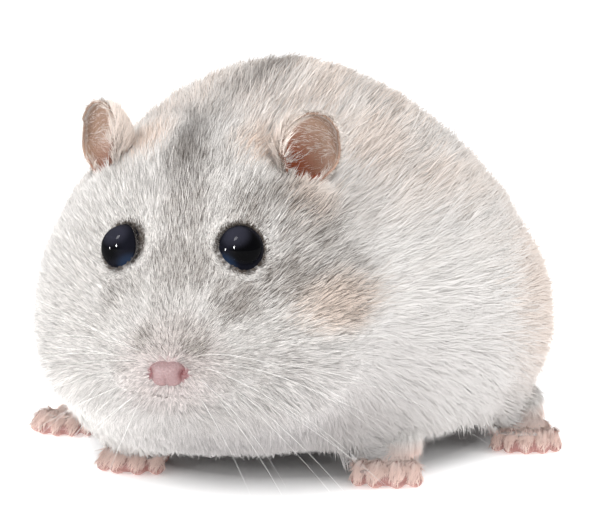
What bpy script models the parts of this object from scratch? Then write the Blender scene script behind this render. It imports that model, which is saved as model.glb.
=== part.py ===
"""A dwarf hamster sitting low on its four feet: a still, life-size model, as a museum shows it.

The solids reach out to the tips of the coat. The body is one loft through named stations from
the nose tip to the rump, swollen at the cheeks, muzzle, brow, shoulders and haunches. It is then
parted with thin cuts into head, neck, trunk and four legs, and the eyes, ears, nose, feet and
tail are pieces of their own. The animal faces -Y, and +X is its left side.
"""

from math import cos, pi, radians, sin, tan

import bmesh
import bpy
import numpy as np
from mathutils import Matrix, Vector

MM = 0.001  # every size below is given in millimetres and built in metres
GAP = 0.3  # air between pieces that meet

# --- the body's envelope, coat included ----------------------------------------------------
# Stations along the body: how far behind the nose tip, height of the top line, height of the
# underside, half width, the height at which the body is widest, and how square it is below
# that height (2 is an ellipse).
STATIONS = [
    ("nose tip", 0.0, 12.9, 12.9, 0.0, 12.9, 2.2),
    ("nose", 0.5, 14.7, 11.0, 2.7, 12.5, 2.2),
    ("muzzle", 2.4, 17.8, 9.4, 5.2, 12.2, 2.3),
    ("whisker pads", 5.0, 22.2, 8.2, 7.8, 13.2, 2.3),
    ("eyes", 8.8, 27.3, 6.4, 11.3, 15.0, 2.3),
    ("cheeks", 13.5, 31.5, 4.0, 14.4, 16.6, 2.4),
    ("ears", 19.0, 34.1, 1.9, 16.5, 17.0, 2.6),
    ("shoulders", 26.0, 36.8, 0.9, 19.7, 15.4, 3.1),
    ("back", 35.0, 38.0, 0.8, 22.9, 13.8, 3.3),
    ("haunches", 45.0, 35.5, 0.9, 23.7, 12.4, 3.3),
    ("hips", 54.0, 30.9, 1.1, 21.9, 12.0, 2.9),
    ("rump", 62.0, 23.8, 2.2, 16.6, 11.6, 2.4),
    ("tail root", 67.5, 16.8, 5.0, 9.0, 11.0, 2.2),
    ("rump tip", 70.0, 11.0, 11.0, 0.0, 11.0, 2.2),
]
RINGS_PER_SPAN = 2
RING_POINTS = 26
ROUNDNESS_ABOVE = 1.78

# Soft swellings of the left side, mirrored on the right: centre, reach and push.
SWELLS = {
    "cheek pouch": ((11.6, 10.5, 12.0), (6.0, 6.0, 6.0), (1.4, -1.2, -0.2)),
    "whisker pad": ((3.4, 1.8, 11.8), (2.6, 2.6, 2.2), (0.7, -0.5, -0.3)),
    "brow": ((5.4, 9.8, 26.2), (3.4, 3.6, 2.6), (0.3, -0.4, 0.3)),
    "eye hollow": ((7.0, 6.6, 21.4), (2.4, 3.0, 3.0), (-0.4, 0.4, 0.0)),
    "ear root": ((9.6, 17.6, 29.0), (4.6, 3.6, 3.4), (0.6, -0.3, 1.0)),
    "nape": ((0.0, 22.5, 35.0), (12.0, 4.0, 5.0), (0.0, 0.0, -0.5)),
    "shoulder": ((18.0, 23.0, 12.0), (6.0, 6.0, 8.0), (0.8, -0.4, 0.0)),
    "haunch": ((20.6, 47.0, 11.0), (8.0, 9.0, 9.0), (1.0, 0.2, 0.0)),
}

# The head sits a little to the animal's right of the body's midline and looks back to its left.
# Both grow along the neck, between these distances behind the nose tip.
HEAD_SHIFT = -2.8
HEAD_TURN = 4.0
POSE_FROM, POSE_TO = 34.0, 16.0

# --- features --------------------------------------------------------------------------------
EYE_RADIUS = 2.05
EYE_CENTRE = (5.25, 7.5, 22.75)

NOSE_CENTRE = (0.0, 0.8, 13.4)
NOSE_RADII = (1.5, 1.1, 1.05)

EAR_CENTRE = {"left": (8.7, 16.8, 30.3), "right": (9.6, 16.8, 31.0)}
EAR_RADII = (3.4, 2.6, 3.6)  # half width, depth of the cup, half height
EAR_FACING = 56.0  # degrees from straight ahead, outwards
EAR_TILT_BACK = 12.0
EAR_SPLAY = 20.0  # how far the tip leans out and back
EAR_WALL = 0.7

TAIL_ROOT = (0.0, 65.0, 7.4)
TAIL_TIP = (0.0, 71.0, 5.6)
TAIL_RADIUS = 1.5

# Planes that part the body: a point on the midline behind the nose tip and its height, and how
# far the plane's upper end leans back, in degrees.
HEAD_CUT = (15.2, 12.0, 23.0)
NECK_CUT = (23.0, 12.0, 20.0)

# --- legs and feet ---------------------------------------------------------------------------
# Upper arms and thighs are the parts of the body inside these ellipsoids: centre and radii.
UPPER_ARM = ((15.5, 24.5, 7.0), (7.4, 7.0, 8.6))
THIGH = ((18.6, 46.5, 9.5), (8.4, 11.5, 11.0))

# Each paw's palm centre and heading, in degrees towards the animal's left.
PAWS = {
    "fore_foot_left": ((12.0, 23.9), 8.0),
    "fore_foot_right": ((-10.6, 23.8), -4.0),
    "hind_foot_left": ((21.4, 41.8), 10.0),
    "hind_foot_right": ((-21.4, 39.0), -8.0),
}
# What the two fore paws share, and what the two hind paws share. The ankle is given from the
# palm's centre, across, back and up. Each toe has an offset across the palm, a spread in degrees
# from the paw's heading, a length and a thickness.
FORE_PAW = {
    "palm": (2.7, 2.3, 1.4),
    "ankle": (0.6, 2.6, 3.2),
    "ankle_radius": 1.6,
    "toes": [(-2.1, -24, 1.9, 0.82), (-0.8, -7, 2.6, 0.86), (0.8, 7, 2.6, 0.86), (2.1, 24, 1.9, 0.82)],
}
HIND_PAW = {
    "palm": (2.6, 3.6, 1.4),
    "ankle": (-1.2, 4.6, 3.2),
    "ankle_radius": 1.9,
    "toes": [
        (-2.2, -26, 1.6, 0.74),
        (-1.3, -9, 2.7, 0.78),
        (0.0, 0, 3.0, 0.80),
        (1.3, 9, 2.7, 0.78),
        (2.2, 26, 1.6, 0.74),
    ],
}
CLAW_LENGTH, CLAW_RADIUS = 0.6, 0.28


def millimetres(*values):
    return Vector(values) * MM


# --- small tools -----------------------------------------------------------------------------
def clear_scene():
    for item in list(bpy.data.objects):
        bpy.data.objects.remove(item)


def new_collection(name):
    made = bpy.data.collections.new(name)
    bpy.context.scene.collection.children.link(made)
    return made


def material(name, colour, roughness, metallic=0.0):
    made = bpy.data.materials.new(name)
    made.use_nodes = True
    shader = made.node_tree.nodes["Principled BSDF"]
    shader.inputs["Base Color"].default_value = (*colour, 1.0)
    shader.inputs["Roughness"].default_value = roughness
    shader.inputs["Metallic"].default_value = metallic
    return made


def object_from(name, mesh_builder, collection, finish=None):
    """Makes an object from a bmesh, with outward normals and smooth shading. Its faces become
    triangles, because cutting needs flat ones."""
    bmesh.ops.recalc_face_normals(mesh_builder, faces=mesh_builder.faces)
    bmesh.ops.triangulate(mesh_builder, faces=mesh_builder.faces)
    mesh = bpy.data.meshes.new(name)
    mesh_builder.to_mesh(mesh)
    mesh_builder.free()
    mesh.shade_smooth()
    made = bpy.data.objects.new(name, mesh)
    collection.objects.link(made)
    if finish:
        mesh.materials.append(finish)
    return made


def helper_from(name, mesh_builder, collection):
    """An object that only cuts or joins others: not rendered, drawn as wire."""
    made = object_from(name, mesh_builder, collection)
    made.hide_render = True
    made.display_type = "WIRE"
    return made


def evaluated_mesh(item):
    graph = bpy.context.evaluated_depsgraph_get()
    return bpy.data.meshes.new_from_object(item.evaluated_get(graph))


def copy_of(item, name, collection, finish):
    """A new object with item's shape, modifiers applied."""
    made = bpy.data.objects.new(name, evaluated_mesh(item))
    made.data.materials.clear()
    made.data.materials.append(finish)
    collection.objects.link(made)
    return made


def boolean(item, other, operation):
    step = item.modifiers.new(f"{operation.lower()} {other.name}", "BOOLEAN")
    step.operation = operation
    step.solver = "EXACT"
    step.object = other


# --- the body's surface ----------------------------------------------------------------------
def posed(point):
    """Carries a point of the straight body into the pose: the head and neck move sideways and
    turn about the head's upright axis, fading out towards the shoulders."""
    share = min(max((POSE_FROM - point.y / MM) / (POSE_FROM - POSE_TO), 0.0), 1.0)
    share = share * share * (3.0 - 2.0 * share)
    pivot = millimetres(0.0, POSE_TO, 0.0)
    turn = Matrix.Rotation(radians(HEAD_TURN) * share, 3, "Z")
    return turn @ (point - pivot) + pivot + millimetres(HEAD_SHIFT * share, 0.0, 0.0)


def posed_at(centre, side):
    """Where the pose takes a place given for the left side, on the side asked for."""
    return posed(millimetres(side * centre[0], centre[1], centre[2]))


def stations_between():
    """Stations on a smooth curve through STATIONS. Past each end the curve is continued by the
    mirror image of its neighbour, so that the nose and the rump close roundly."""
    known = [np.array(row[1:]) for row in STATIONS]

    def mirrored(end, neighbour):
        y, top, bottom, width, widest, square = neighbour
        return np.array([y, 2 * end[1] - top, 2 * end[2] - bottom, -width, widest, square])

    knots = [mirrored(known[0], known[1]), *known, mirrored(known[-1], known[-2])]
    made = []
    for before, start, end, after in zip(knots, knots[1:], knots[2:], knots[3:]):
        for step in range(RINGS_PER_SPAN):
            t = step / RINGS_PER_SPAN
            slope, bend = end - before, 2 * before - 5 * start + 4 * end - after
            twist = 3 * start - before - 3 * end + after
            made.append(0.5 * (2 * start + slope * t + bend * t**2 + twist * t**3))
    return made[1:], known[0], known[-1]


def swollen(point):
    """The point moved by every swelling, each on both sides."""
    moved = point.copy()
    for centre, reach, push in SWELLS.values():
        for side in (1, -1) if centre[0] else (1,):
            middle = (side * centre[0], centre[1], centre[2])
            away = [(at / MM - mid) / far for at, mid, far in zip(point, middle, reach)]
            share = np.exp(-sum(value * value for value in away))
            moved += millimetres(side * push[0], push[1], push[2]) * share
    return moved


def ring_point(station, angle):
    """A point of the body's cross-section at one station. Angle 0 is the animal's left side."""
    y, top, bottom, width, widest, square = station
    roundness = ROUNDNESS_ABOVE if sin(angle) > 0 else square
    height = (top - widest) if sin(angle) > 0 else (widest - bottom)
    across = np.sign(cos(angle)) * abs(cos(angle)) ** (2 / roundness)
    upward = np.sign(sin(angle)) * abs(sin(angle)) ** (2 / roundness)
    return swollen(millimetres(width * across, y, widest + height * upward))


def body_surface(helpers):
    rings, nose, rump = stations_between()
    made = bmesh.new()
    angles = [2 * pi * (i + 0.5) / RING_POINTS for i in range(RING_POINTS)]
    loops = [[made.verts.new(posed(ring_point(r, a))) for a in angles] for r in rings]
    for first, second in zip(loops, loops[1:]):
        for i in range(RING_POINTS):
            j = (i + 1) % RING_POINTS
            made.faces.new((first[i], first[j], second[j], second[i]))
    for end, loop in ((nose, loops[0]), (rump, loops[-1])):
        tip = made.verts.new(posed(swollen(millimetres(0.0, end[0], end[4]))))
        for i in range(RING_POINTS):
            made.faces.new((tip, loop[i], loop[(i + 1) % RING_POINTS]))
    return helper_from("body_surface", made, helpers)


# --- round shapes ----------------------------------------------------------------------------
# A ball is a centre and three radii, in millimetres. The room for a piece is the same balls,
# larger by the gap.
def ball_mesh(ball, larger=0.0, segments=12, rings=8, made=None):
    made = made or bmesh.new()
    centre, radii = ball
    sizes = Matrix.Diagonal((*((radius + larger) * MM for radius in radii), 1.0))
    place = Matrix.Translation(millimetres(*centre)) @ sizes
    bmesh.ops.create_uvsphere(
        made, u_segments=segments, v_segments=rings, radius=1.0, matrix=place
    )
    return made


def row_of_balls(start, end, start_radius, end_radius, count=5):
    """Overlapping balls from start to end."""
    row = []
    for i in range(count):
        t = i / (count - 1)
        radius = start_radius + (end_radius - start_radius) * t
        row.append((start.lerp(end, t), (radius, radius, radius)))
    return row


def merged(name, balls, collection, finish, voxel, keep=1.0, larger=0.0):
    """Overlapping balls made one closed, soft solid. Keep is the share of triangles kept."""
    made = bmesh.new()
    for ball in balls:
        ball_mesh(ball, larger, made=made)
    rough = object_from(f"{name}_balls", made, collection)
    remesh = rough.modifiers.new("one surface", "REMESH")
    remesh.mode = "VOXEL"
    remesh.voxel_size = voxel * MM
    if keep < 1.0:
        rough.modifiers.new("soften", "SMOOTH").iterations = 2
        rough.modifiers.new("fewer triangles", "DECIMATE").ratio = keep
    rough.modifiers.new("flat faces", "TRIANGULATE")
    solid = copy_of(rough, name, collection, finish)
    bpy.data.objects.remove(rough)
    return solid


def helper_of(name, balls, helpers, voxel, larger=GAP):
    """The balls as one helper: by default a cutter that leaves a gap round the piece."""
    helper = merged(name, balls, helpers, None, voxel, larger=larger)
    helper.hide_render = True
    helper.display_type = "WIRE"
    return helper


def cut_at_floor(item, helpers):
    """Cuts off whatever reaches below the floor, which leaves a flat sole."""
    made = bmesh.new()
    bmesh.ops.create_cube(made, size=1.0)
    bmesh.ops.scale(made, vec=millimetres(120, 120, 10), verts=made.verts)
    bmesh.ops.translate(made, vec=millimetres(0, 35, -5), verts=made.verts)
    boolean(item, helper_from(f"{item.name}_floor", made, helpers), "DIFFERENCE")


# --- feet, legs and ears ---------------------------------------------------------------------
def ankle_of(paw, plan, side):
    (x, y), _ = PAWS[paw]
    across, back, up = plan["ankle"]
    return Vector((x + side * across, y + back, up))


def paw_balls(paw, plan, side):
    """A low palm, an ankle, toes that arch down to their tips, and a claw on each."""
    (x, y), heading = PAWS[paw]
    palm = Vector((x, y, plan["palm"][2] * 0.75))
    balls = [(palm, plan["palm"])]
    balls += row_of_balls(palm, ankle_of(paw, plan, side), 1.5, plan["ankle_radius"])
    turn = Matrix.Rotation(radians(heading), 3, "Z")
    for across, spread, length, radius in plan["toes"]:
        angle = radians(spread)
        ahead = turn @ Vector((sin(angle), -cos(angle), 0.0))
        root = palm + turn @ Vector((across, -plan["palm"][1] * 0.6, 0.1))
        knuckle = root + ahead * length * 0.45 + Vector((0, 0, 0.3))
        tip = root + ahead * length
        tip.z = radius * 0.8
        claw_tip = tip + ahead * (radius * 0.6 + CLAW_LENGTH) + Vector((0, 0, -0.3))
        balls += row_of_balls(root, knuckle, radius * 1.1, radius)
        balls += row_of_balls(knuckle, tip, radius, radius * 0.88, 4)
        balls += row_of_balls(tip, claw_tip, CLAW_RADIUS * 1.4, CLAW_RADIUS, 4)
    return balls


def ear_cup(side, hand, larger=0.0):
    """Half an ellipsoid, open outwards and forwards, as a mesh in place."""
    made = bmesh.new()
    bmesh.ops.create_uvsphere(made, u_segments=12, v_segments=8, radius=1.0)
    bmesh.ops.scale(made, vec=millimetres(*(r + larger for r in EAR_RADII)), verts=made.verts)
    everything = [*made.verts, *made.edges, *made.faces]
    front = -(EAR_RADII[1] * 0.10 + larger) * MM
    cut = bmesh.ops.bisect_plane(
        made, geom=everything, plane_co=(0, front, 0), plane_no=(0, 1, 0), clear_inner=True
    )
    if larger:
        rim = [edge for edge in cut["geom_cut"] if isinstance(edge, bmesh.types.BMEdge)]
        bmesh.ops.contextual_create(made, geom=rim)
    turn = Matrix.Rotation(radians(side * EAR_FACING), 4, "Z")
    tilt = Matrix.Rotation(-radians(EAR_TILT_BACK), 4, "X")
    splay = Matrix.Rotation(radians(side * EAR_SPLAY), 4, "Y")
    place = Matrix.Translation(posed_at(EAR_CENTRE[hand], side))
    bmesh.ops.transform(made, matrix=place @ turn @ tilt @ splay, verts=made.verts)
    return made


def ear(side, hand, pieces, finish):
    shell = object_from(f"ear_{hand}", ear_cup(side, hand), pieces, finish)
    wall = shell.modifiers.new("wall", "SOLIDIFY")
    wall.thickness = EAR_WALL * MM
    wall.offset = 0.0
    return shell


# --- parting the body ------------------------------------------------------------------------
def span_between(name, near, far, helpers):
    """The room between two leaning planes across the body, as a block."""
    made = bmesh.new()
    bmesh.ops.create_cube(made, size=1.0)
    half = 60.0
    for corner in made.verts:
        back, height, lean = far if corner.co.y > 0 else near
        z = half if corner.co.z > 0 else -half
        y = back + (z - height) * tan(radians(lean))
        corner.co = millimetres(half if corner.co.x > 0 else -half, y, z)
    return helper_from(name, made, helpers)


def shifted(cut, by):
    return (cut[0] + by, *cut[1:])


def centre_on_floor(pieces, helpers):
    """Moves everything alike, so that the origin is under the middle of the whole."""
    low, high = np.full(3, np.inf), np.full(3, -np.inf)
    for item in pieces.objects:
        mesh = evaluated_mesh(item)
        points = np.array([corner.co for corner in mesh.vertices])
        low, high = np.minimum(low, points.min(0)), np.maximum(high, points.max(0))
        bpy.data.meshes.remove(mesh)
    middle = (low + high) / 2
    move = Matrix.Translation((-middle[0], -middle[1], -low[2]))
    for item in [*pieces.objects, *helpers.objects]:
        item.data.transform(move)


def build():
    clear_scene()
    pieces = new_collection("dwarf_hamster")
    helpers = new_collection("helpers")

    coat = material("cream_grey_coat", (0.62, 0.58, 0.53), 0.85)
    belly = material("white_coat", (0.82, 0.80, 0.77), 0.85)
    bare = material("pink_skin", (0.80, 0.50, 0.44), 0.55)
    ear_skin = material("ear_skin", (0.55, 0.33, 0.26), 0.6)
    eye_black = material("black_eye", (0.01, 0.01, 0.014), 0.06)

    body = body_surface(helpers)
    rooms = {"head": [], "neck": [], "trunk": []}  # what each leaves free for its neighbours

    for side, hand in ((1, "left"), (-1, "right")):
        for limb, plan, zone in (("fore", FORE_PAW, UPPER_ARM), ("hind", HIND_PAW, THIGH)):
            paw, leg_name = f"{limb}_foot_{hand}", f"{limb}_leg_{hand}"
            balls = paw_balls(paw, plan, side)
            foot = merged(paw, balls, pieces, bare, voxel=0.26, keep=0.05)
            cut_at_floor(foot, helpers)
            foot_room = helper_of(f"{paw}_room", balls, helpers, voxel=0.8)

            # The leg is what the body has inside an ellipsoid, less the room for the foot.
            centre, radii = zone
            thigh = ((side * centre[0], centre[1], centre[2]), radii)
            leg = copy_of(body, leg_name, pieces, belly)
            inside = helper_from(f"{leg_name}_zone", ball_mesh(thigh, 0, 12, 8), helpers)
            boolean(leg, inside, "INTERSECT")
            boolean(leg, foot_room, "DIFFERENCE")
            leg_room = helper_from(f"{leg_name}_room", ball_mesh(thigh, GAP, 12, 8), helpers)
            rooms["trunk"] += [leg_room, foot_room]
            if limb == "fore":
                rooms["neck"] += [leg_room, foot_room]

        ear(side, hand, pieces, ear_skin)
        cup = ear_cup(side, hand, EAR_WALL / 2 + GAP)
        rooms["head"].append(helper_from(f"ear_{hand}_room", cup, helpers))

        eye = (posed_at(EYE_CENTRE, side) / MM, (EYE_RADIUS,) * 3)
        object_from(f"eye_{hand}", ball_mesh(eye, 0, 14, 8), pieces, eye_black)
        rooms["head"].append(helper_from(f"eye_{hand}_room", ball_mesh(eye, GAP, 14, 8), helpers))

    nose = (posed_at(NOSE_CENTRE, 1) / MM, NOSE_RADII)
    object_from("nose", ball_mesh(nose, 0, 12, 8), pieces, bare)
    rooms["head"].append(helper_from("nose_room", ball_mesh(nose, GAP, 12, 8), helpers))

    tail = row_of_balls(Vector(TAIL_ROOT), Vector(TAIL_TIP), TAIL_RADIUS, TAIL_RADIUS * 0.55, 6)
    merged("tail", tail, pieces, belly, voxel=0.5, keep=0.3)
    rooms["trunk"].append(helper_of("tail_room", tail, helpers, voxel=0.7))

    half = GAP / 2
    spans = {
        "head": span_between("head_span", (-40, 12, 0), shifted(HEAD_CUT, -half), helpers),
        "neck": span_between("neck_span", shifted(HEAD_CUT, half), shifted(NECK_CUT, -half), helpers),
        "trunk": span_between("trunk_span", shifted(NECK_CUT, half), (140, 12, 0), helpers),
    }
    for name, span in spans.items():
        part = copy_of(body, name, pieces, coat)
        for room in rooms[name]:
            boolean(part, room, "DIFFERENCE")
        boolean(part, span, "INTERSECT")

    centre_on_floor(pieces, helpers)


if __name__ == "__main__":
    build()
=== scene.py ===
# %% [markdown]
# # Dressing a dwarf hamster
# The solids of the animal already exist and reach out to the tips of its coat. This lesson
# gives them what a museum's model maker would add: one skin, wet eyes, a nose pad, thin ears,
# toes with claws, a coat of tufts, and whiskers. Each step says what the real thing is, how it
# could be made, and why it is made this way.

# %% Load the frame
from math import cos, pi, radians, sin

import bpy
import numpy as np
from mathutils import Matrix, Vector
from mathutils.bvhtree import BVHTree


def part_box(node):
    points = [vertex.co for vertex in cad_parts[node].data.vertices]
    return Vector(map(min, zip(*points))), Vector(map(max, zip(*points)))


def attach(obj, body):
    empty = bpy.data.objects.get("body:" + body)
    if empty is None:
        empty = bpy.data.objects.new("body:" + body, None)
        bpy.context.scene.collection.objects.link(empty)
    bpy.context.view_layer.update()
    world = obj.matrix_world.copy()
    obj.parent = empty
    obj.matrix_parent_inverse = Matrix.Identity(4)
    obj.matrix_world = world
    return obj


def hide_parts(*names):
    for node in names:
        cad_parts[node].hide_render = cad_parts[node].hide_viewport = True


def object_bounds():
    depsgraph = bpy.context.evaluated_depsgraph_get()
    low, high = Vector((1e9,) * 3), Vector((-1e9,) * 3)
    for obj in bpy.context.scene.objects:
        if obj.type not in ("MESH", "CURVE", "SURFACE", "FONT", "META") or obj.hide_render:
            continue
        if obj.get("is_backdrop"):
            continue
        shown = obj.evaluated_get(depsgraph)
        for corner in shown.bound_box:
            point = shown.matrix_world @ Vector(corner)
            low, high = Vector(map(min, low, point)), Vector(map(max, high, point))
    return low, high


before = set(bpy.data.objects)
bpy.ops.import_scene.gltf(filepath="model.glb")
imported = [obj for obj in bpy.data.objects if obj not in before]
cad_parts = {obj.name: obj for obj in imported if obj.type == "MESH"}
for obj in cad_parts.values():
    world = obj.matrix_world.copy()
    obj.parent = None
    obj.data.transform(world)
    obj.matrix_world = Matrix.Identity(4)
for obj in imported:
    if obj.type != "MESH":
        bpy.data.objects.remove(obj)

cad_low, cad_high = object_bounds()
MM = 0.001
print("frame", [round(side / MM, 1) for side in cad_high - cad_low], "mm")

# %% [markdown]
# Everything is placed from the solids themselves. Distances are easiest to think of in
# millimetres from the animal's nose: x across to its left, y back along the body, z up from
# the floor. A few landmarks are read from the boxes of the solids.

# %% Landmarks
SIDES = {"left": 1, "right": -1}
START = np.array([0.0, cad_low.y, 0.0])


def in_mm(places):
    """World places as millimetres behind the nose tip, across and up."""
    return (np.asarray(places, float) - START) / MM


def in_metres(places):
    return np.asarray(places, float) * MM + START


def middle(node):
    low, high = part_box(node)
    return in_mm((low + high) / 2)


def reach(node):
    low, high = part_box(node)
    return np.array((high - low) / 2) / MM


NOSE = middle("nose")
EYE_SETTING = {"left": (-0.42, 0.0, 0.17), "right": (0.10, 0.0, 0.05)}
EYE = {side: middle(f"eye_{side}") + EYE_SETTING[side] for side in SIDES}
EAR = {side: middle(f"ear_{side}") for side in SIDES}
EYE_RADIUS = float(max(reach("eye_left")))
EYE_BEARING = {"left": 36.0, "right": -44.0}  # degrees from straight ahead
EYE_RISE = 14.0


def eye_axis(side):
    """The way an eye looks: outwards, forwards and a little up."""
    a, e = radians(EYE_BEARING[side]), radians(EYE_RISE)
    return np.array([sin(a) * cos(e), -cos(a) * cos(e), sin(e)])


HEAD_TURN = 4.0
EAR_FACING = {"left": 40.0, "right": 46.0}  # degrees from straight ahead, outwards
EAR_TILT_BACK, EAR_SPLAY = 10.0, 20.0
EAR_SETTING = {"left": (0.7, 0.2, -0.45), "right": (-0.2, 0.2, -0.45)}


def ear_turn(side):
    """How an ear's cup, modelled upright with its mouth towards -y, is turned on the head."""
    sign = SIDES[side]
    head = Matrix.Rotation(radians(HEAD_TURN), 3, "Z")
    facing = Matrix.Rotation(radians(sign * EAR_FACING[side]), 3, "Z")
    tilt = Matrix.Rotation(-radians(EAR_TILT_BACK), 3, "X")
    splay = Matrix.Rotation(radians(sign * EAR_SPLAY), 3, "Y")
    return np.array(head @ facing @ tilt @ splay)


ear_places = {side: (EAR[side] + EAR_SETTING[side], ear_turn(side)) for side in SIDES}


def in_ear(q, side):
    centre, turn = ear_places[side]
    return (q - centre) @ turn


def in_ear_mouth(q, side):
    """1 in the hollow at the foot of an ear's opening, 0 away from it."""
    local = in_ear(q, side)
    away = np.linalg.norm((local - (0.0, 0.4, -1.0)) / (2.6, 2.2, 2.5), axis=1)
    before_wall = np.clip((local[:, 1] + 1.2) / 0.6, 0.0, 1.0)
    return (1.0 - np.clip((away - 0.8) / 0.4, 0.0, 1.0)) * before_wall


# The head's midline drifts from the body's: where it lies across, at four distances back.
between_eyes = (EYE["left"] + EYE["right"]) / 2
between_ears = (EAR["left"] + EAR["right"]) / 2
MIDLINE_BACK = [NOSE[1], between_eyes[1], between_ears[1], 34.0]
MIDLINE_ACROSS = [NOSE[0], between_eyes[0], between_ears[0], 0.0]
print("nose", NOSE.round(1), "between the eyes", between_eyes.round(1), "radius", round(EYE_RADIUS, 2))

# %% [markdown]
# A handful of small tools keeps the cells short: selecting one thing, reading and writing a
# mesh's points as arrays, and a soft step that blends one region into the next.

# %% Small tools
def select_only(*items):
    bpy.ops.object.select_all(action="DESELECT")
    for item in items:
        item.select_set(True)
    bpy.context.view_layer.objects.active = items[0]


def finish_modifiers(item):
    select_only(item)
    for step in list(item.modifiers):
        bpy.ops.object.modifier_apply(modifier=step.name)


def edit_all(item, operator, **settings):
    """Runs one edit mode operator on all of a mesh."""
    select_only(item)
    bpy.ops.object.mode_set(mode="EDIT")
    bpy.ops.mesh.select_all(action="SELECT")
    operator(**settings)
    bpy.ops.object.mode_set(mode="OBJECT")


def settle(item):
    """Puts the object's place into its mesh."""
    select_only(item)
    bpy.ops.object.transform_apply(location=True, rotation=True, scale=True)


def points_of(item):
    flat = np.empty(len(item.data.vertices) * 3, np.float32)
    item.data.vertices.foreach_get("co", flat)
    return flat.reshape(-1, 3).astype(float)


def normals_of(item):
    flat = np.empty(len(item.data.vertices) * 3, np.float32)
    item.data.vertices.foreach_get("normal", flat)
    return flat.reshape(-1, 3).astype(float)


def move_points(item, places):
    item.data.vertices.foreach_set("co", np.asarray(places, np.float32).ravel())
    item.data.update()


def soft_step(low, high, value):
    share = np.clip((np.asarray(value, float) - low) / (high - low), 0.0, 1.0)
    return share * share * (3.0 - 2.0 * share)


def unit(vectors):
    return vectors / np.maximum(np.linalg.norm(vectors, axis=-1, keepdims=True), 1e-9)


def triangles_in(item):
    item.data.calc_loop_triangles()
    return len(item.data.loop_triangles)


# %% [markdown]
# The camera and the room come early, so that every later step can be looked at. The animal
# stands on a pale floor under a white sky. Four broad lights shine from above on the left, from
# in front, from the right and from overhead. Three small ones are only mirrored in the eyes.

# %% Camera, floor and light
TARGET = in_metres((0.0, 34.27, 19.0))
AZIMUTH, ELEVATION, DISTANCE = radians(14.0), radians(8.5), 0.28
LENS = 178.1
backwards = Vector((sin(AZIMUTH) * cos(ELEVATION), -cos(AZIMUTH) * cos(ELEVATION), sin(ELEVATION)))

camera_data = bpy.data.cameras.new("camera")
camera_data.lens = LENS
camera_data.shift_x, camera_data.shift_y = 0.025, -0.0042
camera_data.clip_start, camera_data.clip_end = 0.01, 20.0
camera = bpy.data.objects.new("camera", camera_data)
camera.location = Vector(TARGET) + backwards * DISTANCE
camera.rotation_euler = backwards.to_track_quat("Z", "Y").to_euler()
bpy.context.scene.collection.objects.link(camera)
bpy.context.scene.camera = camera

FLOOR_SIZE = 6.0
bpy.ops.mesh.primitive_plane_add(size=FLOOR_SIZE, location=(0, 0, -0.00002))
floor = bpy.context.object
floor.name = "floor"
floor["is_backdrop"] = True
floor_paint = bpy.data.materials.new("pale_floor")
floor_paint.use_nodes = True
paint = floor_paint.node_tree.nodes["Principled BSDF"]
paint.inputs["Base Color"].default_value = (0.95, 0.95, 0.955, 1)
paint.inputs["Roughness"].default_value = 0.8
paint.inputs["Emission Color"].default_value = (1, 1, 1, 1)
floor.data.materials.append(floor_paint)
# the floor glows with painted light, and the glow fades out in an oval under the animal, leaving a painted
# shadow there
tree = floor_paint.node_tree
spot = tree.nodes.new("ShaderNodeTexCoord")
oval = tree.nodes.new("ShaderNodeVectorMath")
oval.operation = "MULTIPLY_ADD"
SHADE_CENTRE, SHADE_RADII = in_metres((0.0, 44.0, 0.0)), (0.021, 0.028)
oval.inputs[1].default_value = (1 / SHADE_RADII[0], 1 / SHADE_RADII[1], 1.0)
oval.inputs[2].default_value = (
    -SHADE_CENTRE[0] / SHADE_RADII[0], -SHADE_CENTRE[1] / SHADE_RADII[1], 0.0
)
far = tree.nodes.new("ShaderNodeVectorMath")
far.operation = "LENGTH"
glow = tree.nodes.new("ShaderNodeMapRange")
for number, amount in enumerate((0.80, 1.10, 0.0, 0.52), 1):
    glow.inputs[number].default_value = amount
tree.links.new(spot.outputs["Object"], oval.inputs[0])
tree.links.new(oval.outputs[0], far.inputs[0])
tree.links.new(far.outputs["Value"], glow.inputs[0])
tree.links.new(glow.outputs[0], paint.inputs["Emission Strength"])


def area_light(name, azimuth, elevation, distance, size, power, mirrored=False):
    """A light that looks at the animal. The mirrored ones are tall and only show in the eyes."""
    data = bpy.data.lights.new(name, "AREA")
    data.shape, data.energy = "ELLIPSE", power
    data.size, data.size_y = size, size * (1.7 if mirrored else 1.0)
    item = bpy.data.objects.new(name, data)
    a, e = radians(azimuth), radians(elevation)
    away = Vector((sin(a) * cos(e), -cos(a) * cos(e), sin(e)))
    item.location = Vector(TARGET) + away * distance
    item.rotation_euler = away.to_track_quat("Z", "Y").to_euler()
    item.visible_glossy, item.visible_diffuse = mirrored, not mirrored
    bpy.context.scene.collection.objects.link(item)


area_light("key", -34, 46, 0.6, 0.40, 1.5)
area_light("front", 18, 12, 0.8, 0.6, 1.0)
area_light("side", 72, 20, 0.8, 0.6, 1.4)
area_light("top", 8, 74, 0.8, 0.6, 1.75)
area_light("spark", -20, 16, 0.5, 0.06, 8.0, mirrored=True)
area_light("second_spark", -58, 2, 0.5, 0.035, 2.8, mirrored=True)
area_light("window", -34, 58, 0.7, 0.16, 5.0, mirrored=True)
sky = bpy.data.worlds.new("white_sky")
sky.use_nodes = True
sky.node_tree.nodes["Background"].inputs["Color"].default_value = (1, 1, 1, 1)
sky.node_tree.nodes["Background"].inputs["Strength"].default_value = 0.70
bpy.context.scene.world = sky
bpy.context.scene.view_settings.view_transform = "Standard"
print("camera", [round(v, 3) for v in camera.location])

# %% [markdown]
# The skin. A real animal has one skin with no joins, lying under its coat. The solids are
# parted with thin cuts, so their copies are joined, swollen until the cuts close, and remeshed
# as one surface. It is then sunk by the depth of the coat: a little at the muzzle, about a
# millimetre at the cheeks and two on the back.

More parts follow.
